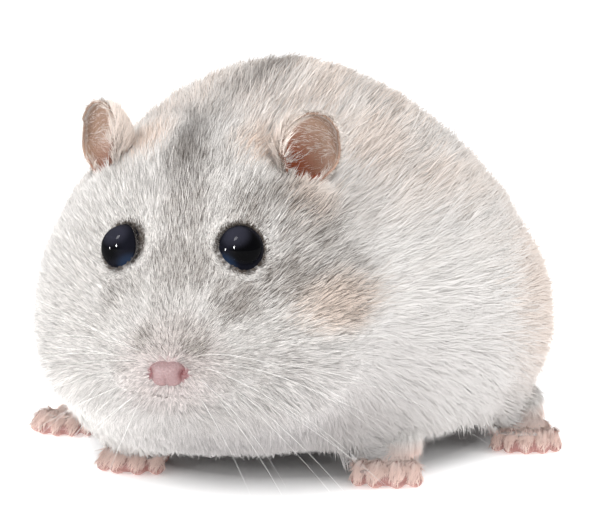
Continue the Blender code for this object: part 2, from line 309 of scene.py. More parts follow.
# %% One surface from the solids
FLESH = ["head", "neck", "trunk", "tail"]
FLESH += [f"{leg}_leg_{side}" for leg in ("fore", "hind") for side in SIDES]
FEET = [f"{leg}_foot_{side}" for leg in ("fore", "hind") for side in SIDES]


def joined(items, title):
    select_only(*items)
    bpy.ops.object.join()
    item = bpy.context.object
    item.name = item.data.name = title
    return item


def copy_of(node):
    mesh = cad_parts[node].data.copy()
    mesh.materials.clear()
    item = bpy.data.objects.new(f"copy_{node}", mesh)
    bpy.context.scene.collection.objects.link(item)
    edit_all(item, bpy.ops.mesh.remove_doubles, threshold=1e-6)
    return item


def lump(place, sizes, turn=(0.0, 0.0, 0.0), segments=32, rings=20):
    """A ball squashed to three radii, in millimetres and degrees."""
    bpy.ops.object.select_all(action="DESELECT")
    bpy.ops.mesh.primitive_uv_sphere_add(
        segments=segments, ring_count=rings, radius=1.0, location=in_metres(place),
        rotation=[radians(angle) for angle in turn], scale=[size * MM for size in sizes],
    )
    item = bpy.context.object
    settle(item)
    return item


def fused(item, voxel, swell=0.0, smooth=0):
    """Makes overlapping shells one closed surface, first swollen and last smoothed."""
    if swell:
        grow = item.modifiers.new("swell", "DISPLACE")
        grow.strength, grow.mid_level = swell * MM, 0.0
    remesh = item.modifiers.new("one surface", "REMESH")
    remesh.mode, remesh.voxel_size = "VOXEL", voxel * MM
    if smooth:
        soften = item.modifiers.new("soften", "SMOOTH")
        soften.factor, soften.iterations = 0.5, smooth
    finish_modifiers(item)
    item.data.shade_smooth()
    return item


MUZZLE_CENTRE = NOSE + (1.0, 0.0, 0.0)
MUZZLE_HALF_WIDTH, MUZZLE_HALF_HEIGHT = 7.0, 2.7


def from_muzzle(q):
    """How far under the nose's level a point is, and where in the muzzle's oval, 1 at its edge."""
    across = (q[:, 0] - MUZZLE_CENTRE[0]) / MUZZLE_HALF_WIDTH
    above = (q[:, 2] - MUZZLE_CENTRE[2]) / MUZZLE_HALF_HEIGHT
    below = soft_step(MUZZLE_CENTRE[2] + 0.8, MUZZLE_CENTRE[2] - 1.4, q[:, 2])
    return below * soft_step(14.0, 9.0, q[:, 1]), np.hypot(across, above)


def throat_fold(q):
    """How much the throat steps back under the round edge of the muzzle."""
    below, away = from_muzzle(q)
    return below * soft_step(0.92, 1.16, away) * (1.0 - 0.7 * soft_step(1.2, 2.8, away))


DEPTH_BACK = [0, 1.5, 5, 9, 14, 20, 28, 60, 72]
DEPTH = [0.15, 0.25, 0.4, 0.6, 0.9, 1.3, 2.0, 2.0, 1.0]  # of the coat, so far behind the nose tip


def coat_depth(q):
    """How far the skin lies under the tips of the coat, in millimetres."""
    depth = np.interp(q[:, 1], DEPTH_BACK, DEPTH)
    for side in SIDES:
        away = np.linalg.norm(q - EYE[side], axis=1)
        depth = depth * (0.3 + 0.7 * soft_step(EYE_RADIUS, EYE_RADIUS + 2.4, away))
    depth = depth * (0.35 + 0.65 * soft_step(1.0, 6.0, q[:, 2]))
    depth = depth + FOLD_DEPTH * throat_fold(q) + 0.7 * soft_step(1.8, 0.8, q[:, 2])
    for side in SIDES:
        depth = depth + EAR_MOUTH_DEPTH * in_ear_mouth(q, side)
    return depth + 0.65 * (1.0 - soft_step(1.3, 2.5, np.linalg.norm(q - NOSE, axis=1)))


FOLD_DEPTH = 0.7
EAR_MOUTH_DEPTH = 1.8
LEAST_HEIGHT = 0.3  # of the body's skin over the ground
CLOSING = 1.2  # swelling that closes the cuts and the rooms cut for the ears
SOCKET_DEPTH, SOCKET_SIZE = 0.55, 1.175  # of the cushion behind an eye, its size in the eye's radii
EAR_ROOT_PLACE, EAR_ROOT_SIZES = (2.2, 0.9, -3.6), (4.3, 3.7, 3.6)  # of the cushion under an ear

parts = [copy_of(node) for node in FLESH + FEET + ["nose"]]
for side, sign in SIDES.items():
    parts.append(lump(EYE[side] - SOCKET_DEPTH * eye_axis(side), (EYE_RADIUS * SOCKET_SIZE,) * 3))
    inwards = (-sign * EAR_ROOT_PLACE[0], *EAR_ROOT_PLACE[1:])
    parts.append(lump(EAR[side] + inwards, EAR_ROOT_SIZES))
skin = fused(joined(parts, "skin"), voxel=0.6, swell=CLOSING, smooth=8)
sinking = coat_depth(in_mm(points_of(skin))) + CLOSING
sunk = points_of(skin) - normals_of(skin) * sinking[:, None] * MM
sunk[:, 2] = np.maximum(sunk[:, 2], LEAST_HEIGHT * MM)
move_points(skin, sunk)
print("skin", triangles_in(skin), "triangles")

# %% [markdown]
# The eyes. A hamster's eye is a dark, wet ball that stands well out of the head. A finely
# divided sphere, with a slightly steeper cornea, takes the highlights cleanly. The ball of
# the solids is only there for its place and size.

# %% Eyes
CORNEA_RISE = 0.045

eyes = {}
for side in SIDES:
    ball = lump(EYE[side], (EYE_RADIUS,) * 3, segments=64, rings=40)
    ball.name = ball.data.name = f"eyeball_{side}"
    q = in_mm(points_of(ball)) - EYE[side]
    facing = unit(q) @ eye_axis(side)
    q *= (1.0 + CORNEA_RISE * soft_step(0.55, 1.0, facing))[:, None]
    move_points(ball, in_metres(q + EYE[side]))
    ball.data.shade_smooth()
    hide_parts(f"eye_{side}")
    eyes[side] = ball
print("eyes", [ball.name for ball in eyes.values()])

# %% [markdown]
# The lids. Each eye sits in a thin dark rim of bare skin, a little longer than high, with a
# small point at its inner corner. A torus follows the ball, and its inner corner is drawn out.

# %% Lids
LID_ANGLE = 82.0  # how far round the ball the lids lie, from the middle of the cornea
LID_THICKNESS = 0.09
CORNER_REACH = 0.16


def basis(axis):
    """Two directions across an axis: one level, one upwards."""
    level = unit(np.cross((0.0, 0.0, 1.0), axis))
    return level, np.cross(axis, level)


lids = []
for side, sign in SIDES.items():
    axis = eye_axis(side)
    bpy.ops.object.select_all(action="DESELECT")
    bpy.ops.mesh.primitive_torus_add(
        major_segments=72, minor_segments=12, location=(0, 0, 0),
        major_radius=EYE_RADIUS * sin(radians(LID_ANGLE)) * MM, minor_radius=LID_THICKNESS * MM,
    )
    rim = bpy.context.object
    rim.name = f"lid_{side}"
    q = points_of(rim) / MM
    inner = np.maximum(-sign * q[:, 0] / EYE_RADIUS, 0.0) ** 6
    q[:, 0] -= sign * CORNER_REACH * inner
    q[:, 2] += EYE_RADIUS * cos(radians(LID_ANGLE)) - 0.15 * inner
    level, upward = basis(axis)
    place = q[:, :1] * level + q[:, 1:2] * upward + q[:, 2:] * axis
    move_points(rim, in_metres(place + EYE[side]))
    rim.data.shade_smooth()
    lids.append(rim)
print("lids", len(lids))

# %% [markdown]
# The nose pad. It is a small bare cushion, wider than high and flat on top, with a groove down
# its lower half and a comma-shaped nostril at each side. A finely divided ball is pushed into
# that shape by a few soft dents, as a modeller would press them into clay.

# %% Nose pad
PAD = (1.50, 1.10, 1.08)
NOSTRIL_ACROSS, NOSTRIL_DEPTH = 1.34, 0.55


def dent(q, centre, sizes):
    """1 in the middle of a soft dent and 0 away from it."""
    return np.exp(-(((q - np.array(centre)) / np.array(sizes)) ** 2).sum(axis=1))


nose_pad = lump((0, 0, 0), PAD, segments=96, rings=64)
nose_pad.name = "nose_pad"
q = in_mm(points_of(nose_pad))
# squarer than a ball, seen from the front
boxy = 1.0 + 0.16 * np.abs(np.sin(2 * np.arctan2(q[:, 2], q[:, 0])))
q[:, 0] *= boxy
q[:, 2] *= boxy * np.where(q[:, 2] > 0, 0.80, 1.0)
front = soft_step(0.1, -0.5, q[:, 1])
nostril = np.zeros(len(q))
for sign in SIDES.values():
    nostril += dent(q, (sign * NOSTRIL_ACROSS, -0.40, -0.10), (0.22, 0.7, 0.48))
groove = np.exp(-(q[:, 0] / 0.13) ** 2) * soft_step(0.3, -0.5, q[:, 2])
q[:, 1] += front * (NOSTRIL_DEPTH * nostril + 0.16 * groove)
turn = Matrix.Rotation(radians(HEAD_TURN), 3, "Z")
move_points(nose_pad, in_metres(q @ np.array(turn).T + NOSE + (0.0, -0.30, 0.0)))
nose_pad.data.shade_smooth()
print("nose pad", triangles_in(nose_pad), "triangles")

# %% [markdown]
# The ears. A hamster's ear is a thin cup of skin, rounded at the top and narrow at its root,
# that opens forwards and outwards. A ball is cut open, drawn in at its root, given a wall and
# rounded by subdivision. The second ear is the same cup mirrored.

# %% Ears
EAR_RADII = (3.2, 2.3, 3.9)
EAR_WALL = 0.26

ears = []
for side, sign in SIDES.items():
    cup = lump((0, 0, 0), (1, 1, 1), segments=40, rings=28)
    cup.name = f"ear_shell_{side}"
    opening = in_metres((0, -0.12, 0))
    edit_all(cup, bpy.ops.mesh.bisect, plane_co=opening, plane_no=(0, 1, 0), clear_inner=True)
    q = in_mm(points_of(cup))
    q *= EAR_RADII
    low = soft_step(0.5, -3.6, q[:, 2])
    q[:, 0] *= 1.0 - 0.42 * low - 0.22 * soft_step(2.0, -2.5, q[:, 2]) * (sign * q[:, 0] > 0)
    q[:, 1] *= 1.0 - 0.25 * low
    q[:, 1] -= 0.5 * soft_step(1.5, 3.8, q[:, 2])  # the tip leans forward a little
    inner_edge = soft_step(0.5, 3.2, -sign * q[:, 0]) * soft_step(0.6, -0.4, q[:, 1])
    q[:, 1] -= 0.9 * inner_edge * soft_step(3.0, -1.5, q[:, 2])
    move_points(cup, in_metres(q @ ear_turn(side).T + EAR[side] + EAR_SETTING[side]))
    wall = cup.modifiers.new("wall", "SOLIDIFY")
    wall.thickness, wall.offset = EAR_WALL * MM, 0.0
    fine = cup.modifiers.new("round", "SUBSURF")
    fine.levels = fine.render_levels = 1
    finish_modifiers(cup)
    cup.data.shade_smooth()
    ears.append(cup)
print("ears", [triangles_in(cup) for cup in ears])

# %% [markdown]
# The feet. Each is a low palm with short plump toes that arch down to the floor, four in
# front and five behind. Squashed balls are laid along each toe and fused, which leaves the soft
# webbing between them. The soles are cut flat at the floor.

# %% Feet
# A paw's palm centre is read from its solid. Each toe has an offset across the palm, a spread
# in degrees, a length and a radius.
PAW_HEADING = {"fore_left": 8.0, "fore_right": -4.0, "hind_left": 10.0, "hind_right": -8.0}
PAW_PLAN = {
    "fore": {
        "palm": (2.5, 2.4, 1.35), "ankle": (0.6, 2.6, 3.0), "ankle_radius": 1.5, "palm_back": 4.9,
        "toes": [
            (-1.90, -18, 2.0, 0.76), (-0.68, -6, 2.6, 0.82),
            (0.68, 7, 2.6, 0.82), (1.90, 19, 2.0, 0.76),
        ],
    },
    "hind": {
        "palm": (2.4, 3.5, 1.35), "ankle": (-1.2, 4.6, 3.0), "ankle_radius": 1.8, "palm_back": 6.0,
        "toes": [
            (-2.1, -20, 1.9, 0.64), (-1.15, -8, 2.7, 0.70), (0.0, 0, 3.0, 0.72),
            (1.15, 8, 2.7, 0.70), (2.1, 20, 1.9, 0.64),
        ],
    },
}
WEB_HEIGHT = 0.78  # of the skin between the toes
toe_tips = []  # where each claw grows, which way, and how thick its toe is
toe_lines = []  # each toe's root, tip and radius


def paw_centre(leg, side):
    low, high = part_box(f"{leg}_foot_{side}")
    front = in_mm([(low + high) / 2])[0]
    front[1] = in_mm([low])[0][1] + PAW_PLAN[leg]["palm_back"]
    return front


def build_foot(leg, side):
    sign, plan = SIDES[side], PAW_PLAN[leg]
    heading = np.array(Matrix.Rotation(radians(PAW_HEADING[f"{leg}_{side}"]), 3, "Z"))
    palm = paw_centre(leg, side)
    palm[2] = plan["palm"][2] * 0.72
    ankle = palm + (sign * plan["ankle"][0], plan["ankle"][1], plan["ankle"][2] - palm[2])
    balls = [lump(palm, plan["palm"])]
    for share in (0.33, 0.66, 1.0):
        size = 1.5 + (plan["ankle_radius"] - 1.5) * share
        balls.append(lump(palm + (ankle - palm) * share, (size,) * 3))
    web = palm + heading @ np.array([0.0, -plan["palm"][1] - 0.35, 0.0])
    web[2] = WEB_HEIGHT
    balls.append(lump(web, (2.7, 1.9, WEB_HEIGHT), (0, 0, PAW_HEADING[f"{leg}_{side}"])))
    for across, spread, length, radius in plan["toes"]:
        ahead = heading @ np.array([sin(radians(spread)), -cos(radians(spread)), 0.0])
        root = palm + heading @ np.array([across, -plan["palm"][1] * 0.6, 0.1])
        knuckle = root + ahead * length * 0.45 + (0, 0, 0.34)
        tip = root + ahead * length
        tip[2] = radius * 0.82
        bend = PAW_HEADING[f"{leg}_{side}"] + spread
        for place, sizes, dip in (
            ((root + knuckle) / 2, (radius, length * 0.5, radius), 0),
            (knuckle, (radius * 0.96, radius * 1.1, radius), 0),
            ((knuckle + tip) / 2, (radius * 0.88, length * 0.42, radius * 0.86), -12),
            (tip, (radius * 0.95, radius * 1.05, radius * 0.86), 0),
        ):
            balls.append(lump(place, sizes, (dip, 0, bend)))
        toe_tips.append((tip, ahead, radius))
        toe_lines.append((root, tip, radius))
    foot = fused(joined(balls, f"foot_{leg}_{side}"), voxel=0.2, smooth=2)
    q = in_mm(points_of(foot))
    q[:, 2] = np.maximum(q[:, 2], 0.02)
    move_points(foot, in_metres(q))
    return foot


def beside_toe(q):
    """How far a point is, seen from above, from the line of the nearest toe, in that toe's radii."""
    nearest = np.full(len(q), 9.0)
    for root, tip, radius in toe_lines:
        line = tip - root
        share = np.clip((q - root) @ line / (line @ line), 0.0, 1.0)
        off = q - root - share[:, None] * line
        nearest = np.minimum(nearest, np.hypot(off[:, 0], off[:, 1]) / radius)
    return nearest


feet = [build_foot(leg, side) for leg in ("fore", "hind") for side in SIDES]
print("feet", [triangles_in(foot) for foot in feet], "toes", len(toe_tips))

# %% [markdown]
# The claws. Each toe ends in a small, pale, curved claw. Each is a cone bent downwards, with a
# mesh of its own, set on the tip of its toe. Then all are joined.

# %% Claws
CLAW_LENGTH, CLAW_RADIUS, CLAW_DROP = 0.95, 0.14, 0.28
CLAW_RISE = 0.16  # of its root over the toe's tip


def claw(tip, ahead, radius):
    bpy.ops.object.select_all(action="DESELECT")
    bpy.ops.mesh.primitive_cone_add(vertices=12, radius1=1, radius2=0.12, depth=1, location=(0, 0, 0.5))
    item = bpy.context.object
    settle(item)
    edit_all(item, bpy.ops.mesh.subdivide, number_cuts=2)
    q = points_of(item)
    along = q[:, 2]
    across = unit(np.cross(ahead, (0, 0, 1)))
    place = tip + ahead * (radius * 0.45 + along[:, None] * CLAW_LENGTH)
    place = place + (0, 0, CLAW_RISE) - np.outer(along**2, (0, 0, CLAW_DROP + CLAW_RISE))
    place = place + q[:, :1] * CLAW_RADIUS * across + np.outer(q[:, 1] * CLAW_RADIUS * 1.2, (0, 0, 1))
    place[:, 2] = np.maximum(place[:, 2], 0.03)
    move_points(item, in_metres(place))
    return item


claws = joined([claw(*toe) for toe in toe_tips], "claws")
claws.data.shade_smooth()
edit_all(claws, bpy.ops.mesh.normals_make_consistent, inside=False)
print("claws", triangles_in(claws), "triangles")

# %% [markdown]
# The fine parts now join the skin, so that one object stands for all the flesh. Every face
# remembers which part it came from, because the coat grows differently on each. The skin is
# then unwrapped, and later each tuft of the coat takes its place on this same map.

# %% One skin and its unwrap
BODY, EAR_PART, FOOT_PART, NOSE_PART, LID_PART = range(5)


def remember_part(item, number):
    flags = item.data.attributes.new("part", "INT", "FACE")
    flags.data.foreach_set("value", np.full(len(item.data.polygons), number, np.int32))


members = {BODY: [skin], EAR_PART: ears, FOOT_PART: feet, NOSE_PART: [nose_pad], LID_PART: lids}
for number, items in members.items():
    for item in items:
        for layer in list(item.data.uv_layers):
            item.data.uv_layers.remove(layer)
        remember_part(item, number)
skin = joined([skin, *ears, *feet, nose_pad, *lids], "skin")
skin.data.uv_layers.new(name="OFBake")
edit_all(skin, bpy.ops.uv.smart_project, angle_limit=radians(66), island_margin=0.004)
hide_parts(*FLESH, *FEET, "nose", "ear_left", "ear_right")
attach(skin, "root")
for ball in eyes.values():
    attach(ball, "root")
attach(claws, "root")
print("skin", triangles_in(skin), "triangles in all")

# %% [markdown]
# The markings. This is a pale grey dwarf hamster: a white muzzle, throat and belly, a grey
# ticked mask over the nose and brow, a dark stripe down the back, and cream patches at the
# left cheek, beside the ears, on the left shoulder and along the flanks. Each patch is a soft
# oval. Skin and coat are given the same three numbers at every point: how grey, how cream and
# how dark it is there.

# %% Markings
def midline_of(q):
    return np.interp(q[:, 1], MIDLINE_BACK, MIDLINE_ACROSS)


def patch(q, centre, sizes):
    """1 inside a soft oval patch, 0 outside it."""
    away = np.linalg.norm((q - np.array(centre)) / np.array(sizes), axis=1)
    return 1.0 - soft_step(0.45, 1.25, away)


def mottle(q, scale, seed):
    """Slow, uneven variation between about -1 and 1, without any grid."""
    draw = np.random.default_rng(seed)
    value = np.zeros(len(q))
    for wave in range(7):
        direction = unit(draw.normal(size=3)) * (1.0 + 0.22 * wave) / scale
        bent = 1.3 * np.sin(q @ np.roll(direction, 1) * 4.0)
        value += np.sin(q @ direction * 2 * pi + draw.uniform(0, 2 * pi) + bent)
    return value / 3.2


MASK_PATCHES = [  # place, sizes, strength: the grey ticked mask, from the nose to the neck
    ((-1.5, 6.5, 20.0), (17.0, 12.5, 14.0), 0.32),
    ((-0.2, 1.7, 15.9), (2.0, 2.2, 1.9), 0.80),
    ((-3.8, 1.6, 15.8), (1.8, 2.2, 1.6), 0.70),
    ((-2.0, 1.6, 16.2), (3.4, 2.6, 2.4), 0.62),
    ((-2.4, 3.2, 18.6), (2.8, 3.0, 2.6), 0.44),
    ((-1.6, 5.0, 22.0), (4.4, 4.4, 4.0), 0.68),
    ((-2.3, 7.6, 26.0), (3.0, 4.4, 3.6), 0.64),
    ((-3.4, 11.5, 29.8), (2.8, 4.0, 3.2), 0.56),
    ((-0.8, 12.0, 30.0), (2.6, 3.4, 2.6), 0.46),
    ((3.4, 9.7, 26.2), (3.4, 3.2, 1.9), 0.74),
    ((5.8, 12.8, 26.8), (3.2, 4.0, 3.4), 0.80),
    ((7.4, 12.6, 24.2), (3.4, 4.4, 4.0), 0.76),
    ((6.4, 8.6, 20.2), (2.8, 3.8, 2.6), 0.90),
    ((3.0, 4.8, 18.9), (3.0, 3.6, 2.6), 0.84),
    ((9.8, 12.6, 19.4), (4.6, 5.4, 5.0), 0.60),
    ((-7.0, 5.0, 19.5), (3.4, 4.0, 3.2), 0.50),
    # painted shade on the left side of the muzzle, away from the key light
    ((2.8, 2.2, 14.0), (2.8, 2.8, 2.4), 0.34),
    ((-10.0, 12.5, 28.5), (2.6, 3.0, 2.5), 0.34),
    ((10.4, 18.8, 26.0), (2.8, 3.8, 4.0), 0.44),
    ((12.3, 26.0, 29.0), (3.0, 4.0, 3.0), 0.50),
    ((0.0, 20.0, 34.0), (5.5, 5.0, 4.0), 0.16),
]
CREAM_PATCHES = [
    ((10.2, 11.5, 17.6), (4.6, 6.4, 2.6), 0.66),
    ((2.4, 15.8, 31.4), (3.0, 3.4, 2.8), 1.0),
    ((-8.6, 15.5, 31.6), (3.4, 3.6, 2.8), 0.95),
    ((10.5, 25.0, 30.0), (4.0, 6.0, 4.0), 0.50),
    ((7.6, 14.6, 27.0), (3.2, 3.6, 3.2), 0.50),
    ((23.0, 42.0, 16.0), (5.0, 11.0, 12.0), 0.62),
    ((20.0, 46.0, 24.0), (8.0, 12.0, 6.0), 0.40),
    ((-23.0, 42.0, 16.0), (5.0, 11.0, 12.0), 0.50),
]
STRIPE_WIDTH = 1.5
DARKEST = 1.6  # the number stored where the fur is black
STRIPE_BACK = [11.0, 15.0, 19.0, 23.0, 27.0, 34.0, 72.0]
STRIPE_ACROSS = [-3.2, -3.5, -3.8, -2.8, -0.7, 0.0, 0.0]


def markings(q):
    grey, cream = np.zeros(len(q)), np.zeros(len(q))
    for centre, sizes, strength in MASK_PATCHES:
        grey = np.maximum(grey, strength * patch(q, centre, sizes))
    for centre, sizes, strength in CREAM_PATCHES:
        cream = np.maximum(cream, strength * patch(q, centre, sizes))
    grey = grey * (1.0 + 0.30 * mottle(q, 2.6, 21))
    across = q[:, 0] - np.interp(q[:, 1], STRIPE_BACK, STRIPE_ACROSS)
    mantle = soft_step(16.0, 32.0, q[:, 2] + 1.8 * mottle(q, 9.0, 5))
    mantle = mantle * soft_step(14.0, 26.0, q[:, 1])
    grey = np.maximum(grey, mantle * (0.20 + 0.24 * mottle(q, 7.0, 11)))
    cream = np.maximum(cream, mantle * 0.36 * (1.0 + mottle(q, 8.0, 3)))
    stripe = np.exp(-((across - 0.5 * mottle(q, 7.0, 8)) / STRIPE_WIDTH) ** 2)
    stripe = stripe * soft_step(20.0, 30.0, q[:, 2])
    stripe *= soft_step(8.0, 13.0, q[:, 1]) * soft_step(70.0, 60.0, q[:, 1])
    stripe *= np.interp(q[:, 1], [16.0, 26.0], [1.0, 1.02])
    stripe *= 1.0 - 0.75 * patch(q, (-3.5, 21.0, 34.0), (6.0, 2.4, 5.0))
    for eye in EYE.values():  # short black hairs round the lids
        far = np.linalg.norm(q - eye, axis=1)
        stripe = np.maximum(stripe, DARKEST * (1.0 - soft_step(EYE_RADIUS + 0.10, EYE_RADIUS + 0.38, far)))
        grey = np.maximum(grey, 0.36 * (1.0 - soft_step(EYE_RADIUS + 0.4, EYE_RADIUS + 1.5, far)))
    return np.clip(grey, 0, 1), np.clip(cream, 0, 1), np.clip(stripe, 0, DARKEST)


# %% [markdown]
# The lie of the coat. Hair starts at the nose and streams away from it over the whole head,
# runs back along the body and sags down the flanks, and hangs under the throat and belly. It
# parts round the eyes. A slow sway keeps neighbouring tufts together without combing them all
# alike.

# %% Lie and length of the coat
def sway(q, seed, scale=5.0):
    return np.stack([mottle(q, scale, seed + i) for i in range(3)], axis=1)


DROOP_HEIGHTS = [3.0, 7.0, 11.0, 14.5, 18.0, 26.0]
DROOP = [-0.75, -0.40, -0.20, -0.08, 0.0, 0.10]  # how steeply the flanks' hair sinks at those heights


def lie_of_coat(q, up):
    fan = unit(q - (NOSE + (0.0, 1.4, -0.2)))
    hang = soft_step(15.0, 6.0, q[:, 2])
    fan = fan + np.outer(hang, (0.0, 0.0, -1.2))
    level = 1.0 - soft_step(0.15, 0.8, np.abs(up[:, 0]))
    throat = soft_step(24.0, 10.0, q[:, 1]) * soft_step(12.0, 5.0, q[:, 2])
    droop = np.interp(q[:, 2], DROOP_HEIGHTS, DROOP) - 1.6 * throat
    body = np.stack([0.15 * np.tanh(q[:, 0] / 9.0) * level, np.ones(len(q)), droop], axis=1)
    share = soft_step(6.0, 20.0, q[:, 1])[:, None]
    lie = unit(fan) * (1 - share) + unit(body) * share
    for eye in EYE.values():
        away = q - eye
        far = np.linalg.norm(away, axis=1)
        outward = away / np.maximum(far, 1e-6)[:, None]
        near = 1.0 - soft_step(EYE_RADIUS, EYE_RADIUS + 1.8, far)
        heading_in = np.minimum((lie * outward).sum(axis=1), 0.0)
        lie = lie + outward * (near * (0.50 - heading_in))[:, None]
    lie = lie + sway(q, 40) * (0.07 + 0.10 * share) + sway(q, 60, 1.8) * 0.05
    lie = lie - up * (lie * up).sum(axis=1)[:, None]
    return unit(lie)


LENGTH_BACK = [0, 1.5, 4, 8, 12, 17, 24, 34, 72]
LENGTH = [0.45, 0.7, 1.0, 1.5, 2.1, 3.0, 4.4, 5.2, 4.8]  # of the hair, so far behind the nose tip


def hair_length(q):
    length = np.interp(q[:, 1], LENGTH_BACK, LENGTH)
    below, away = from_muzzle(q)
    throat = below * soft_step(0.98, 1.35, away)
    length = length * (1.0 - throat) + np.maximum(length, 3.2) * throat
    length = np.minimum(length, np.interp(q[:, 2], [1.0, 3.0, 8.0, 14.0], [1.0, 2.4, 3.6, 6.0]))
    for sign in SIDES.values():  # longer over the hind legs, which it covers down to the feet
        length = length * (1.0 + 0.6 * patch(q, (sign * 21.0, 43.0, 6.0), (6.0, 8.0, 5.0)))
    for eye in EYE.values():
        away = np.linalg.norm(q - eye, axis=1)
        length = length * (0.24 + 0.76 * soft_step(EYE_RADIUS + 0.2, EYE_RADIUS + 2.6, away))
    for side in SIDES:  # short before an ear, so that its hollow stays open
        before = np.linalg.norm((in_ear(q, side) - (0.0, -1.6, -2.4)) / (2.4, 2.2, 2.4), axis=1)
        length = length * (0.45 + 0.55 * soft_step(0.7, 1.3, before))
    return length


# %% [markdown]
# Tufts. Each tuft starts at a place on the skin and follows the lie of the coat over it for a
# few short steps, rising as it goes. Its hairs are thin ribbons that start side by side and
# draw together at the tip. A ribbon costs three triangles. The hairs are built as
# arrays and joined in one mesh for each region of the coat, and all the hairs of a tuft share one
# small patch of the unwrap, at the tuft's own root.

# %% Reading the skin
skin.data.calc_loop_triangles()
tri_count = len(skin.data.loop_triangles)


def read(items, field, each=1, kind=np.int32):
    """One field of many items of a mesh, as rows of so many numbers."""
    flat = np.empty(len(items) * each, kind)
    items.foreach_get(field, flat)
    return flat.reshape(-1, each) if each > 1 else flat


tri_corners = read(skin.data.loop_triangles, "vertices", 3)
tri_loops = read(skin.data.loop_triangles, "loops", 3)
tri_faces = read(skin.data.loop_triangles, "polygon_index")
tri_parts = read(skin.data.attributes["part"].data, "value")[tri_faces]
loop_uv = read(skin.data.uv_layers["OFBake"].data, "uv", 2, np.float32)
skin_q, skin_up = in_mm(points_of(skin)), normals_of(skin)
tri_q = skin_q[tri_corners]
tri_middle = tri_q.mean(axis=1)
tri_across = np.cross(tri_q[:, 1] - tri_q[:, 0], tri_q[:, 2] - tri_q[:, 0])
tri_area = np.linalg.norm(tri_across, axis=1) / 2
tri_up = unit(tri_across)
body_faces = tri_corners[tri_parts == BODY]
body_tree = BVHTree.FromPolygons(skin_q.tolist(), body_faces.tolist())
body_face_up = unit(skin_up[body_faces].mean(axis=1))
print("skin area", round(tri_area.sum()), "square mm")


# %% Sowing and growing
def sow(where, per_mm2, draw):
    """Roots spread over the triangles asked for. Gives places, directions up and map places."""
    weight = np.where(where, tri_area * per_mm2, 0.0)
    edges = np.cumsum(weight)
    count = int(edges[-1])
    at = (np.arange(count) + draw.random(count)) * edges[-1] / count
    chosen = np.minimum(np.searchsorted(edges, at), tri_count - 1)
    root, side = np.sqrt(draw.random(count)), draw.random(count)
    mix = np.stack([1 - root, root * (1 - side), root * side], axis=1)[:, :, None]
    place = (tri_q[chosen] * mix).sum(axis=1)
    up = unit((skin_up[tri_corners[chosen]] * mix).sum(axis=1))
    uv = (loop_uv[tri_loops[chosen]] * mix).sum(axis=1)
    return place, up, uv


STEPS = 2  # bends in the path of a tuft


def lifted(share):
    """How a tuft rises from its root at 0 to its tip at 1: quickly, and then level."""
    return 1.6 * share - 0.6 * share**2


def over_skin(place, up, length, rise, lie):
    """The path of each tuft over the body: it follows the lie and rises above the skin."""
    path, ups = [place], [up]
    here = place
    for step in range(1, STEPS + 1):
        ahead = here + lie(here, up) * (length / STEPS)[:, None]
        landed = [body_tree.find_nearest(spot) for spot in ahead.tolist()]
        here = np.array([found[0] for found in landed])
        up = unit(body_face_up[[found[2] for found in landed]] + up)
        path.append(here + up * (rise * lifted(step / STEPS))[:, None])
        ups.append(up)
    # the lowest hair is lit through from the front
    low = soft_step(7.0, 3.0, place[:, 2])[:, None, None]
    return np.stack(path, axis=1), unit(np.stack(ups, axis=1) + low * (0.0, -0.5, 0.25))


def straight(place, up, length, rise, lie):
    """The path of each tuft where it is too short to need to follow the skin."""
    ahead = lie(place, up)
    path = [place]
    for step in range(1, STEPS + 1):
        share = step / STEPS
        here = place + ahead * (length * share)[:, None]
        path.append(here + up * (rise * lifted(share))[:, None])
    return np.stack(path, axis=1), np.repeat(up[:, None], STEPS + 1, axis=1)


def liveliness(q):
    """How much single hairs differ: most on the ticked face, least on the soft flanks."""
    face = 1.0 - soft_step(9.0, 24.0, q[:, 1])
    back = soft_step(20.0, 32.0, q[:, 2])
    return 0.12 + 0.88 * np.maximum(face, 0.75 * back)


PATCH = 0.003  # the side of a tuft's patch on the map
EVENNESS, LEAST_EVENNESS = 0.93, 0.78  # how far a hair's shading follows the skin: flanks, face
UNEVEN = 0.24  # how much the hairs of a tuft differ in length
ROOT_DEPTH = 0.06  # of a hair in the skin
LEAST_HAIR_HEIGHT = 0.04  # over the floor


def store_vectors(mesh, title, values):
    """Three numbers for each point of a mesh, for its material to read."""
    store = mesh.attributes.new(title, "FLOAT_VECTOR", "POINT")
    store.data.foreach_set("vector", values.astype(np.float32).ravel())


